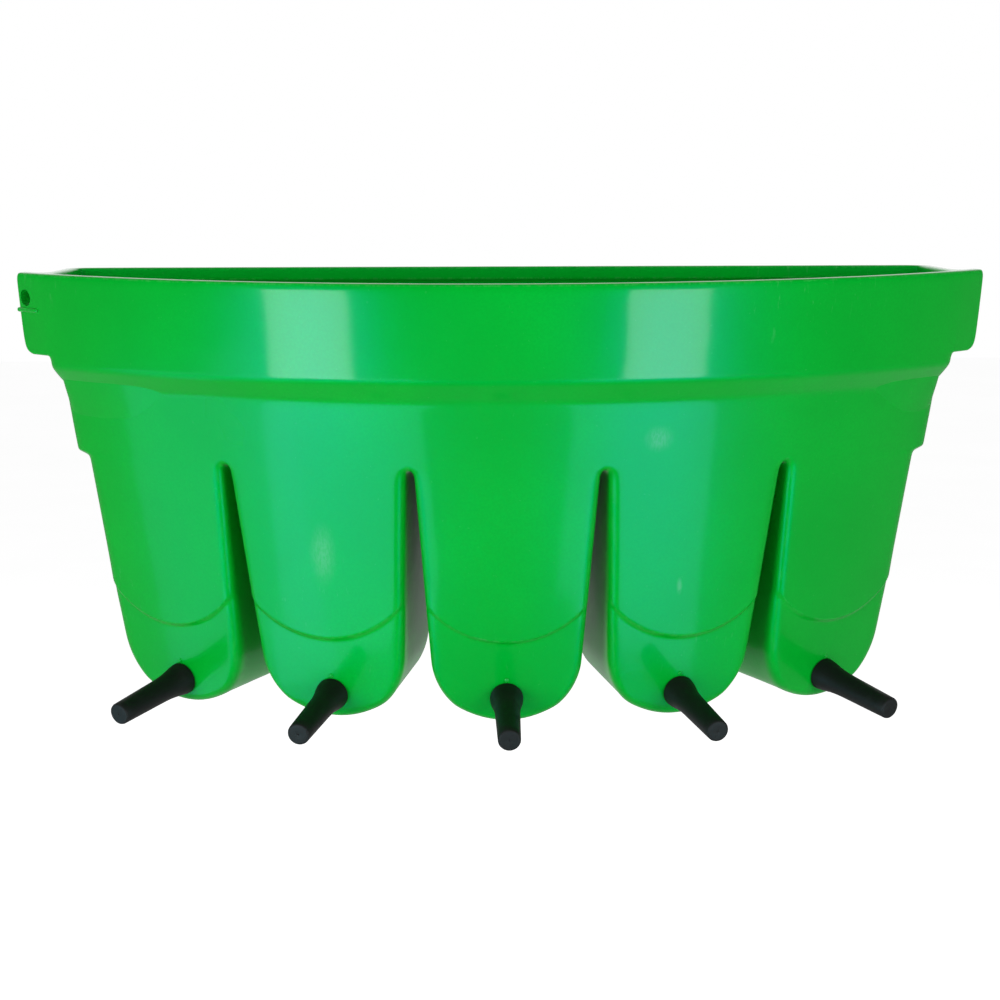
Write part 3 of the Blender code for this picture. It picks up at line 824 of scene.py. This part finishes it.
def settle(piece, matrix):
    """Moves a piece to its place and leaves its object at the origin."""
    pick(piece)
    piece.matrix_world = matrix
    bpy.ops.object.transform_apply(location=True, rotation=True, scale=True)
    return piece


def apply_modifier(piece, kind, **settings):
    pick(piece)
    added = piece.modifiers.new(kind.lower(), kind)
    for name, value in settings.items():
        setattr(added, name, value)
    bpy.ops.object.modifier_apply(modifier=added.name)


def round_edges(piece, width, segments, degrees=30.0):
    """Bevels the edges that are sharper than an angle."""
    apply_modifier(piece, "BEVEL", width=width, segments=segments, limit_method="ANGLE",
                   angle_limit=radians(degrees))


def soften(piece, degrees):
    pick(piece)
    bpy.ops.object.shade_smooth_by_angle(angle=radians(degrees))


def turned(name, profile, sides=48, rounding=0.0003):
    """A ring shaped from a circle: extruded and resized from point to point of a closed profile."""
    deselect()
    radius, height = profile[0]
    bpy.ops.mesh.primitive_circle_add(vertices=sides, radius=radius,
                                      location=(0.0, 0.0, height))
    piece = bpy.context.object
    piece.name = name
    bpy.ops.object.transform_apply(location=True)
    bpy.ops.object.mode_set(mode="EDIT")
    for next_radius, next_height in profile[1:] + profile[:1]:
        bpy.ops.mesh.extrude_edges_move(
            TRANSFORM_OT_translate={"value": (0.0, 0.0, next_height - height)})
        scale = next_radius / radius
        bpy.ops.transform.resize(value=(scale, scale, 1.0),
                                 center_override=(0.0, 0.0, next_height))
        radius, height = next_radius, next_height
    bpy.ops.mesh.select_all(action="SELECT")
    bpy.ops.mesh.remove_doubles(threshold=0.00001)
    bpy.ops.mesh.normals_make_consistent(inside=False)
    bpy.ops.object.mode_set(mode="OBJECT")
    if rounding:
        round_edges(piece, rounding, 2, SMALL_SMOOTH_ANGLE)
    return piece


def rod(name, radius, low, high, sides=48):
    """A bar along Z, from a cylinder."""
    deselect()
    bpy.ops.mesh.primitive_cylinder_add(vertices=sides, radius=radius, depth=high - low,
                                        location=(0.0, 0.0, (low + high) / 2))
    piece = bpy.context.object
    piece.name = name
    bpy.ops.object.transform_apply(location=True)
    return piece


def merged(pieces):
    pick(pieces[0])
    for piece in pieces:
        piece.select_set(True)
    bpy.ops.object.join()
    return pieces[0]


def cut(piece, tool, operation="DIFFERENCE"):
    apply_modifier(piece, "BOOLEAN", object=tool, operation=operation, solver="EXACT")
    bpy.data.objects.remove(tool, do_unlink=True)


def place_all(template, stem, body, material):
    """Copies a piece to each teat's place, and lets each copy stand for its CAD node."""
    template.data.materials.clear()
    template.data.materials.append(material)
    for pocket in range(POCKETS):
        number = pocket + 1
        piece = template.copy()
        piece.data = template.data.copy()
        piece.name = f"{stem}_{number}_piece"
        bpy.context.scene.collection.objects.link(piece)
        settle(piece, teat_frame(pocket))
        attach(piece, body.format(number))
        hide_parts(f"{stem}_{number}")
    bpy.data.objects.remove(template, do_unlink=True)


class Socket:
    """Output of a shader node that works in sums: each sum adds a Math node."""

    def __init__(self, recipe, output):
        self.recipe = recipe
        self.output = output

    def math(self, operation, one, two):
        return self.recipe.node("ShaderNodeMath", {"operation": operation}, {0: one, 1: two})

    def __add__(self, other):
        return self.math("ADD", self, other)

    def __sub__(self, other):
        return self.math("SUBTRACT", self, other)

    def __rsub__(self, other):
        return self.math("SUBTRACT", other, self)

    def __mul__(self, other):
        return self.math("MULTIPLY", self, other)

    __radd__ = __add__
    __rmul__ = __mul__


class Recipe:
    """Node tree of a material or of the world, written as sums of sockets."""

    def __init__(self, owner):
        self.owner = owner
        owner.use_nodes = True
        self.tree = owner.node_tree

    def node(self, kind, settings=None, inputs=None, output=0):
        """Adds a node: its settings first, then the values or links of its sockets."""
        made = self.tree.nodes.new(kind)
        for name, value in (settings or {}).items():
            setattr(made, name, value)
        for name, value in (inputs or {}).items():
            self.put(made.inputs[name], value)
        return Socket(self, made.outputs[output])

    def put(self, socket, value):
        if isinstance(value, Socket):
            self.tree.links.new(value.output, socket)
        else:
            socket.default_value = value

    def place(self, stretch=None, turn=(0.0, 0.0, 0.0)):
        """Object coordinates, stretched and turned where a pattern needs it."""
        where = self.node("ShaderNodeTexCoord", output="Object")
        if stretch is None:
            return where
        return self.node("ShaderNodeMapping", {},
                         {"Vector": where, "Scale": stretch, "Rotation": turn})

    def ray(self, kind):
        return self.node("ShaderNodeLightPath", output=f"Is {kind} Ray")

    def height(self, where):
        return self.node("ShaderNodeSeparateXYZ", {}, {0: where}, output="Z")

    def attribute(self, name):
        return self.node("ShaderNodeAttribute", {"attribute_name": name}, output="Fac")

    def noise(self, where, scale, detail=2.0, roughness=0.5):
        return self.node("ShaderNodeTexNoise", {}, {
            "Vector": where, "Scale": scale, "Detail": detail, "Roughness": roughness})

    def ramp(self, value, low, high, bottom=0.0, top=1.0):
        return self.node("ShaderNodeMapRange", {"interpolation_type": "SMOOTHSTEP"}, {
            "Value": value, "From Min": low, "From Max": high, "To Min": bottom, "To Max": top})

    def spot(self, where, centre, width, height):
        """A soft round patch of painted highlight on the front wall, by its half width and half
        height.
        """
        offset = self.node("ShaderNodeVectorMath", {"operation": "SUBTRACT"},
                           {0: where, 1: centre})
        share = self.node("ShaderNodeVectorMath", {"operation": "DIVIDE"},
                          {0: offset, 1: (width, HIGHLIGHT_PATCH_DEPTH, height)})
        reach = self.node("ShaderNodeVectorMath", {"operation": "LENGTH"}, {0: share},
                          output="Value")
        return self.ramp(reach, 1.0, 0.1)

    def blend(self, share, one, two):
        return self.node("ShaderNodeMix", {"data_type": "RGBA"},
                         {"Factor": share, 6: one, 7: two}, output=2)

    def surface(self, base, roughness, bumps, bump_height, coat=0.0, **uniform):
        """Feeds the shader: what varies by links, and each uniform number on its own socket."""
        shader = self.tree.nodes["Principled BSDF"]
        normal = self.node("ShaderNodeBump", {}, {"Height": bumps, "Distance": bump_height})
        self.put(shader.inputs["Base Color"], base)
        self.put(shader.inputs["Roughness"], roughness)
        self.put(shader.inputs["Coat Weight"], coat)
        self.put(shader.inputs["Normal"], normal)
        for name, value in uniform.items():
            shader.inputs[name.replace("_", " ")].default_value = value
        return self.owner


def shade(tone, amount=1.0):
    return tuple(channel * amount for channel in tone) + (1.0,)


def handling_marks(mix, where):
    """Painted highlights: pale patches on the front wall where reflections fall, broken up by fine
    upright streaks.
    """
    painted_highlight = 0.0
    for pocket, across, depth, width, height in HIGHLIGHT_PATCHES:
        centre = arc_point(pocket_angle(pocket) + across / front_radius(depth), depth)
        painted_highlight = painted_highlight + mix.spot(where, centre, width, height)
    highlight_streaks = mix.noise(mix.place((60.0, 60.0, 14.0), (0.0, 0.06, 0.0)), 9.0, 2.0, 0.6)
    return painted_highlight * mix.ramp(highlight_streaks, 0.36, 0.62, 0.5, 1.0)


def tub_plastic():
    """Moulded polyethylene: faint clouding, dust specks, handling scuffs, rubbed edges, and painted
    highlights on the front wall.
    """
    mix = Recipe(bpy.data.materials.new("tub_green_plastic"))
    green = tuple(bpy.context.scene.trough_finish.green)
    where = mix.place()
    cloud = mix.noise(where, 6.0, 3.0)
    grain = mix.noise(where, 380.0)
    peel = mix.noise(where, 95.0)
    patch = mix.noise(where, 4.5, 1.0)
    streak = mix.noise(mix.place((26.0, 26.0, 5.0), (0.2, 0.1, 0.0)), 9.0, 3.0, 0.6)
    speck = mix.ramp(mix.noise(where, 240.0, 1.0), 0.74, 0.80)
    scuff = mix.ramp(streak, 0.62, 0.74) * mix.ramp(patch, 0.55, 0.68)
    # Painted highlights: pale patches where reflections fall on the front wall
    painted_highlight = handling_marks(mix, where)

    wear = mix.attribute("edge_wear")
    rubbed = mix.ramp(wear, 0.25, 0.9) * mix.ramp(streak, 0.42, 0.62)
    dull = mix.ramp(wear, 0.12, 0.30) * (1.0 - mix.ramp(wear, 0.70, 0.95))
    trimmed = mix.ramp(mix.height(where), RIM_Z - TRIM_START, RIM_Z - TRIM_FULL)

    base = mix.blend(mix.ramp(cloud, 0.3, 0.7), shade(green, 0.94), shade(green, 1.05))
    base = mix.blend(mix.ramp(grain, 0.35, 0.65) * 0.35, base, shade(green, 0.86))
    # Specks, scuffs and rubbed edges are wear; the highlight patches are painted highlights
    pale = speck * 0.07 + scuff * 0.16 + rubbed * 0.12 + painted_highlight * 0.38
    base = mix.blend(pale, base, shade(PALE_GREEN))
    roughness = 0.26 + cloud * 0.06 + scuff * 0.12 + rubbed * 0.10
    return mix.surface(base, roughness, peel * 0.7 + grain * 0.3, 0.00012,
                       coat=0.16 * (1.0 - dull * 0.85) + trimmed * 0.7, Coat_Roughness=0.085,
                       Specular_IOR_Level=0.20, Specular_Tint=shade(GLOSS_TINT))


def teat_rubber():
    """Black teat rubber: matt, with a fine grain, a dusty bloom, and a tip face painted greyer as a
    painted highlight.
    """
    mix = Recipe(bpy.data.materials.new("teat_black_rubber"))
    black = tuple(bpy.context.scene.trough_finish.rubber)
    where = mix.place()
    cloud = mix.noise(where, 45.0, 3.0)
    grain = mix.noise(where, 900.0)
    bloom = mix.ramp(cloud, 0.5, 0.75)
    # Painted highlight: the tip face is painted greyer for the light that falls on it, and made
    # rougher
    tip = mix.attribute("tip_painted_light")
    base = mix.blend(bloom * 0.35 + tip * 0.5, shade(black), shade(BLOOM_AND_TIP_LIGHT_GREY))
    base = mix.blend(mix.ramp(grain, 0.6, 0.8) * 0.2, base, shade(GRAIN_GREY))
    roughness = 0.50 + bloom * 0.12 + tip * 0.10
    return mix.surface(base, roughness, grain * 0.6 + cloud * 0.4, 0.00008,
                       Specular_IOR_Level=0.13)


def fitting(name, tone, roughness, **uniform):
    """Plastic, rubber or steel of a small fitting: slight clouding and a fine surface grain."""
    mix = Recipe(bpy.data.materials.new(name))
    where = mix.place()
    cloud = mix.noise(where, 60.0, 3.0)
    grain = mix.noise(where, 700.0)
    base = mix.blend(mix.ramp(cloud, 0.3, 0.7), shade(tone, 0.9), shade(tone))
    varied = mix.ramp(grain, 0.3, 0.7, roughness - 0.05, roughness + 0.06)
    return mix.surface(base, varied, cloud * 0.5 + grain * 0.5, 0.00006, **uniform)


def hole_tools():
    """Bars that cut the valves' holes and the hole in the left ear."""
    tools = []
    for pocket in range(POCKETS):
        hole = rod(f"valve_hole_{pocket}", HOLE_IN_TUB, -HOLE_REACH, HOLE_REACH)
        tools.append(settle(hole, teat_frame(pocket)))
    hole = rod("ear_hole", HOLE_RADIUS, -EAR_HOLE_REACH, EAR_HOLE_REACH)
    place = ear_frame(HOLE_INSET, HOLE_DEPTH) @ Matrix.Rotation(pi / 2, 4, "X")
    tools.append(settle(hole, place))
    return tools


def raised_details():
    """The bead below the ear's hole, and a round pip above each teat."""
    bead = rod("ear_bead", BEAD_RADIUS, -BEAD_LENGTH / 2, BEAD_LENGTH / 2, DETAIL_SIDES)
    round_edges(bead, BEAD_ROUND, 4)
    place = ear_frame(BEAD_LENGTH / 2 - BEAD_RADIUS, BEAD_DEPTH)
    details = [settle(bead, place @ Matrix.Rotation(pi / 2, 4, "Y"))]
    for pocket in range(POCKETS):
        pip = rod(f"pip_{pocket}", PIP_RADIUS, -PIP_SUNK, PIP_HEIGHT, DETAIL_SIDES)
        round_edges(pip, PIP_ROUND, 3)
        place = teat_frame(pocket)
        up = place.to_3x3().inverted() @ UP
        up = Vector((up.x, up.y, 0.0)).normalized() * PIP_ABOVE_TEAT
        details.append(settle(pip, place @ Matrix.Translation(up)))
    return details


class TROUGH_OT_tub(bpy.types.Operator):
    """Models the tub: one moulding with five pockets, four gaps, two ears and a rounded rim"""

    bl_idname = "trough.tub"
    bl_label = "Tub"

    def execute(self, context):
        tub = bpy.data.objects.new("tub_moulding", tub_mesh())
        context.scene.collection.objects.link(tub)
        apply_modifier(tub, "SUBSURF", levels=2, render_levels=2)
        press_pads(tub.data)
        ripple(tub.data)
        cut(tub, merged(hole_tools()))
        cut(tub, merged(raised_details()), "UNION")
        note_wear(tub.data)
        soften(tub, TUB_SMOOTH_ANGLE)
        tub.data.materials.clear()
        tub.data.materials.append(tub_plastic())
        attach(tub, BODY)
        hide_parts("tub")
        return {"FINISHED"}


def teat_profile(base, neck, tip, length):
    """Closed outline of a teat: tip, finger and bell outside, then its hollow back to the tip."""
    nut_room = NUT_RADIUS + GAP
    nut_end = 3 * GAP + NUT_THICKNESS
    grip = SPIGOT_RADIUS + GAP
    thread = VALVE_RADIUS + GAP
    bore_end = length - TIP_WALL
    profile = [(radius, length - down) for radius, down in TIP_DIMPLE]
    profile += [(tip - inward, length - down) for inward, down in TIP_EDGE]
    for step in range(1, FINGER_STEPS):
        share = step / FINGER_STEPS
        profile.append((between(tip, neck, share), between(length, BELL[0][0], share)))
    profile += [(between(neck, base, share), height) for height, share in BELL]
    profile += [(base, GAP + BASE_ROUND), (base - BASE_ROUND, GAP)]
    profile += [(nut_room, GAP), (nut_room, nut_end), (thread, nut_end)]
    profile += [(thread, THREAD_END + GAP), (grip, THREAD_END + GAP), (grip, SPIGOT_END + GAP)]
    profile += [(TEAT_BORE, SPIGOT_END + GAP + grip - TEAT_BORE)]
    return profile + [(TEAT_BORE, bore_end - TEAT_BORE), (TIP_HOLE, bore_end)]


class TROUGH_OT_teats(bpy.types.Operator):
    """Models the five push-on rubber teats: bell, tapering finger, flat tip and hollow inside"""

    bl_idname = "trough.teats"
    bl_label = "Teats"

    def execute(self, context):
        teat = teat_sizes()
        profile = teat_profile(teat.base_radius, teat.neck_radius, teat.tip_radius, teat.length)
        template = turned("teat", profile, sides=56, rounding=0.0)
        start = teat.length - TIP_FACE
        # Painted highlight: how far each vertex lies in the tip face that the rubber paints paler
        tip_light_share = [soft_step((v.co.z - start) / TIP_FACE_FADE) for v in template.data.vertices]
        attribute = template.data.attributes.new("tip_painted_light", "FLOAT", "POINT")
        attribute.data.foreach_set("value", tip_light_share)
        soften(template, TEAT_SMOOTH_ANGLE)
        place_all(template, "teat", BODY, teat_rubber())
        return {"FINISHED"}


class TROUGH_OT_valves(bpy.types.Operator):
    """Models the valve bodies: flange inside the tub, thread through the wall, ball chamber"""

    bl_idname = "trough.valves"
    bl_label = "Valve bodies"

    def execute(self, context):
        profile = [(OUTLET_RADIUS, SPIGOT_END), (SPIGOT_RADIUS, SPIGOT_END),
                   (SPIGOT_RADIUS, THREAD_END), (VALVE_RADIUS, THREAD_END),
                   (VALVE_RADIUS, FLANGE_TOP), (FLANGE_RADIUS, FLANGE_TOP),
                   (FLANGE_RADIUS, FLANGE_END), (BOSS_RADIUS, FLANGE_END),
                   (BOSS_RADIUS, VALVE_END), (CHAMBER_RADIUS, VALVE_END),
                   (CHAMBER_RADIUS, BALL_STOP), (OUTLET_RADIUS, BALL_STOP)]
        template = turned("valve_body", profile)
        for turn in (0.0, pi / 2):
            deselect()
            bpy.ops.mesh.primitive_cube_add(size=1.0)
            passage = context.object
            passage.scale = (2 * CHAMBER_RADIUS - PASSAGE_WIDTH / 2, PASSAGE_WIDTH,
                             PASSAGE_LENGTH)
            passage.rotation_euler = (0.0, 0.0, turn)
            passage.location = (0.0, 0.0, BALL_STOP + PASSAGE_LENGTH / 4)
            bpy.ops.object.transform_apply(location=True, rotation=True, scale=True)
            cut(template, passage)
        soften(template, SMALL_SMOOTH_ANGLE)
        white = fitting("valve_white_plastic", VALVE_WHITE, 0.38)
        place_all(template, "valve_body", BODY, white)
        return {"FINISHED"}


class TROUGH_OT_washers(bpy.types.Operator):
    """Models the seal washers between the valves' flanges and the tub's wall"""

    bl_idname = "trough.washers"
    bl_label = "Seal washers"

    def execute(self, context):
        bore = VALVE_RADIUS + GAP
        low = WASHER_TOP - WASHER_THICKNESS
        washer = turned("seal_washer", [(bore, WASHER_TOP), (FLANGE_RADIUS, WASHER_TOP),
                                        (FLANGE_RADIUS, low), (bore, low)])
        soften(washer, SMALL_SMOOTH_ANGLE)
        black = fitting("seal_black_rubber", SEAL_BLACK, 0.62)
        place_all(washer, "seal_washer", BODY, black)
        return {"FINISHED"}


class TROUGH_OT_nuts(bpy.types.Operator):
    """Models the six-sided lock nuts on the valves' threads"""

    bl_idname = "trough.nuts"
    bl_label = "Lock nuts"

    def execute(self, context):
        nut = rod("lock_nut", NUT_RADIUS, GAP, GAP + NUT_THICKNESS, sides=6)
        cut(nut, rod("nut_bore", HOLE_IN_TUB, -NUT_THICKNESS, 2 * NUT_THICKNESS))
        round_edges(nut, NUT_EDGE, 2, SMALL_SMOOTH_ANGLE)
        soften(nut, SMALL_SMOOTH_ANGLE)
        grey = fitting("nut_grey_plastic", NUT_GREY, 0.42)
        place_all(nut, "lock_nut", BODY, grey)
        return {"FINISHED"}


class TROUGH_OT_seats(bpy.types.Operator):
    """Models the rubber seat rings that the check balls close against"""

    bl_idname = "trough.seats"
    bl_label = "Ball seats"

    def execute(self, context):
        outside = CHAMBER_RADIUS - GAP
        cone = SEAT_THICKNESS / 3
        seat = turned("seat_ring", [(SEAT_BORE, SEAT_TOP - cone / 2),
                                    (SEAT_BORE + cone, SEAT_TOP - cone / 2),
                                    (outside, SEAT_TOP), (outside, VALVE_END),
                                    (SEAT_BORE, VALVE_END)], rounding=SEAT_EDGE)
        soften(seat, SMALL_SMOOTH_ANGLE)
        red = fitting("seat_red_rubber", SEAT_RED, 0.55)
        place_all(seat, "seat_ring", BODY, red)
        return {"FINISHED"}


class TROUGH_OT_balls(bpy.types.Operator):
    """Models the steel check balls, each on a body of its own"""

    bl_idname = "trough.balls"
    bl_label = "Check balls"

    def execute(self, context):
        deselect()
        bpy.ops.mesh.primitive_ico_sphere_add(subdivisions=4, radius=BALL_RADIUS,
                                              location=(0.0, 0.0, BALL_OPEN))
        ball = context.object
        bpy.ops.object.transform_apply(location=True)
        bpy.ops.object.shade_smooth()
        steel = fitting("ball_bright_steel", BALL_STEEL, 0.18, Metallic=1.0)
        place_all(ball, "check_ball", "ball_{}", steel)
        return {"FINISHED"}


class TROUGH_OT_stage(bpy.types.Operator):
    """Sets up the pale floor, the soft lamps, the white surroundings and the camera"""

    bl_idname = "trough.stage"
    bl_label = "Stage"

    def execute(self, context):
        for name in ("Cube", "Light", "Camera"):
            if name in bpy.data.objects:
                bpy.data.objects.remove(bpy.data.objects[name], do_unlink=True)
        deselect()
        bpy.ops.mesh.primitive_plane_add(size=FLOOR_SIZE, location=(0.0, 0.0, FLOOR_Z))
        floor = context.object
        floor.name = "studio_floor"
        bpy.ops.object.transform_apply(location=True)
        floor.data.materials.append(floor_paint())
        surroundings(context.scene)
        for name, settings in LAMPS.items():
            lamp(name, *settings)
        for name, settings in REFLECTED_LAMPS.items():
            lamp(name, *settings, reflected=True)
        add_camera(context.scene)
        context.scene.view_settings.view_transform = "Standard"
        return {"FINISHED"}


def lamp(name, azimuth, elevation, distance, width, height, power, tone=WHITE, reflected=False):
    """A soft area lamp aimed at the trough; a reflected one only shows as a reflection on it."""
    data = bpy.data.lights.new(name, "AREA")
    data.shape = "RECTANGLE"
    data.size = width
    data.size_y = height
    data.energy = power
    data.color = tone
    made = bpy.data.objects.new(name, data)
    bpy.context.scene.collection.objects.link(made)
    turn, rise = radians(azimuth), radians(elevation)
    way = Vector((sin(turn) * cos(rise), -cos(turn) * cos(rise), sin(rise)))
    made.location = LAMP_AIM + way * distance
    made.rotation_euler = (-way).to_track_quat("-Z", "Y").to_euler()
    made.visible_camera = False
    made.visible_glossy = reflected
    made.visible_diffuse = not reflected


def floor_paint():
    """Pale matt paint with a faint mottle; it looks white to the camera."""
    mix = Recipe(bpy.data.materials.new("floor_paint"))
    mottle = mix.noise(mix.place(), 3.0, 3.0)
    base = mix.blend(mix.ramp(mottle, 0.3, 0.7), shade(WHITE, 0.80), shade(WHITE, 0.83))
    roughness = mix.ramp(mottle, 0.3, 0.7, 0.75, 0.85)
    mix.surface(base, roughness, mottle, 0.0002, Specular_IOR_Level=0.0)
    seen = mix.ray("Camera") + mix.ray("Transmission") + mix.ray("Glossy") * FLOOR_IN_GLOSS
    glow = mix.node("ShaderNodeEmission", {}, {"Color": shade(WHITE),
                                               "Strength": seen * FLOOR_LIFT})
    paint = Socket(mix, mix.tree.nodes["Principled BSDF"].outputs[0])
    both = mix.node("ShaderNodeAddShader", {}, {0: paint, 1: glow})
    mix.put(mix.tree.nodes["Material Output"].inputs["Surface"], both)
    return mix.owner


def surroundings(scene):
    """White to the camera and through glass, a plain pale light, and dim in front in gloss."""
    scene.world = bpy.data.worlds.new("studio")
    mix = Recipe(scene.world)
    glossy = mix.ray("Glossy")
    facing = mix.node("ShaderNodeSeparateXYZ", {},
                      {0: mix.node("ShaderNodeTexCoord", output="Generated")}, output="Y")
    seen = glossy.math("MAXIMUM", mix.ray("Camera"), mix.ray("Transmission"))
    in_gloss = glossy * mix.ramp(facing, 0.2, 0.9, GLOSSY_FRONT, 1.0)
    other = (1.0 - glossy) * WORLD_LEVEL + in_gloss
    background = mix.tree.nodes["Background"]
    background.inputs["Color"].default_value = shade(WHITE)
    mix.put(background.inputs["Strength"], seen + (1.0 - seen) * other)


def add_camera(scene):
    """The photograph's view: slightly above the rim, from just left of the middle."""
    yaw, down, roll = radians(CAMERA_YAW), radians(CAMERA_DOWN), radians(CAMERA_ROLL)
    ahead = Vector((sin(yaw), cos(yaw), 0.0))
    right = Vector((cos(yaw), -sin(yaw), 0.0))
    view = ahead * cos(down) - UP * sin(down)
    above = UP * cos(down) + ahead * sin(down)
    side = right * cos(roll) + above * sin(roll)
    top = above * cos(roll) - right * sin(roll)
    data = bpy.data.cameras.new("photo_camera")
    data.lens = CAMERA_LENS
    data.clip_end = CAMERA_REACH
    camera = bpy.data.objects.new("photo_camera", data)
    scene.collection.objects.link(camera)
    matrix = Matrix((side, top, -view)).transposed().to_4x4()
    matrix.translation = Vector(CAMERA_PLACE)
    camera.matrix_world = matrix
    scene.camera = camera


class TROUGH_PT_build(bpy.types.Panel):
    """Sizes and finishes of the trough, and a button for each group of its pieces"""

    bl_idname = "TROUGH_PT_build"
    bl_label = "Calf milk trough"
    bl_space_type = "VIEW_3D"
    bl_region_type = "UI"
    bl_category = "Trough"

    def draw(self, context):
        layout = self.layout
        for group in (context.scene.trough_sizes, context.scene.teat_sizes,
                      context.scene.trough_finish):
            box = layout.box()
            for name in group.bl_rna.properties.keys():
                if name not in ("rna_type", "name"):
                    box.prop(group, name)
        for operator in OPERATORS:
            layout.operator(operator.bl_idname)


OPERATORS = (TROUGH_OT_tub, TROUGH_OT_teats, TROUGH_OT_valves, TROUGH_OT_washers,
             TROUGH_OT_nuts, TROUGH_OT_seats, TROUGH_OT_balls, TROUGH_OT_stage)
CLASSES = (TroughSizes, TeatSizes, TroughFinish) + OPERATORS + (TROUGH_PT_build,)


def register():
    for entry in CLASSES:
        bpy.utils.register_class(entry)
    scene = bpy.types.Scene
    scene.trough_sizes = bpy.props.PointerProperty(type=TroughSizes)
    scene.teat_sizes = bpy.props.PointerProperty(type=TeatSizes)
    scene.trough_finish = bpy.props.PointerProperty(type=TroughFinish)


def unregister():
    del bpy.types.Scene.trough_finish
    del bpy.types.Scene.teat_sizes
    del bpy.types.Scene.trough_sizes
    for entry in reversed(CLASSES):
        bpy.utils.unregister_class(entry)


def main():
    register()
    bpy.ops.trough.tub()
    bpy.ops.trough.teats()
    bpy.ops.trough.valves()
    bpy.ops.trough.washers()
    bpy.ops.trough.nuts()
    bpy.ops.trough.seats()
    bpy.ops.trough.balls()
    bpy.ops.trough.stage()


if __name__ == "__main__":
    main()
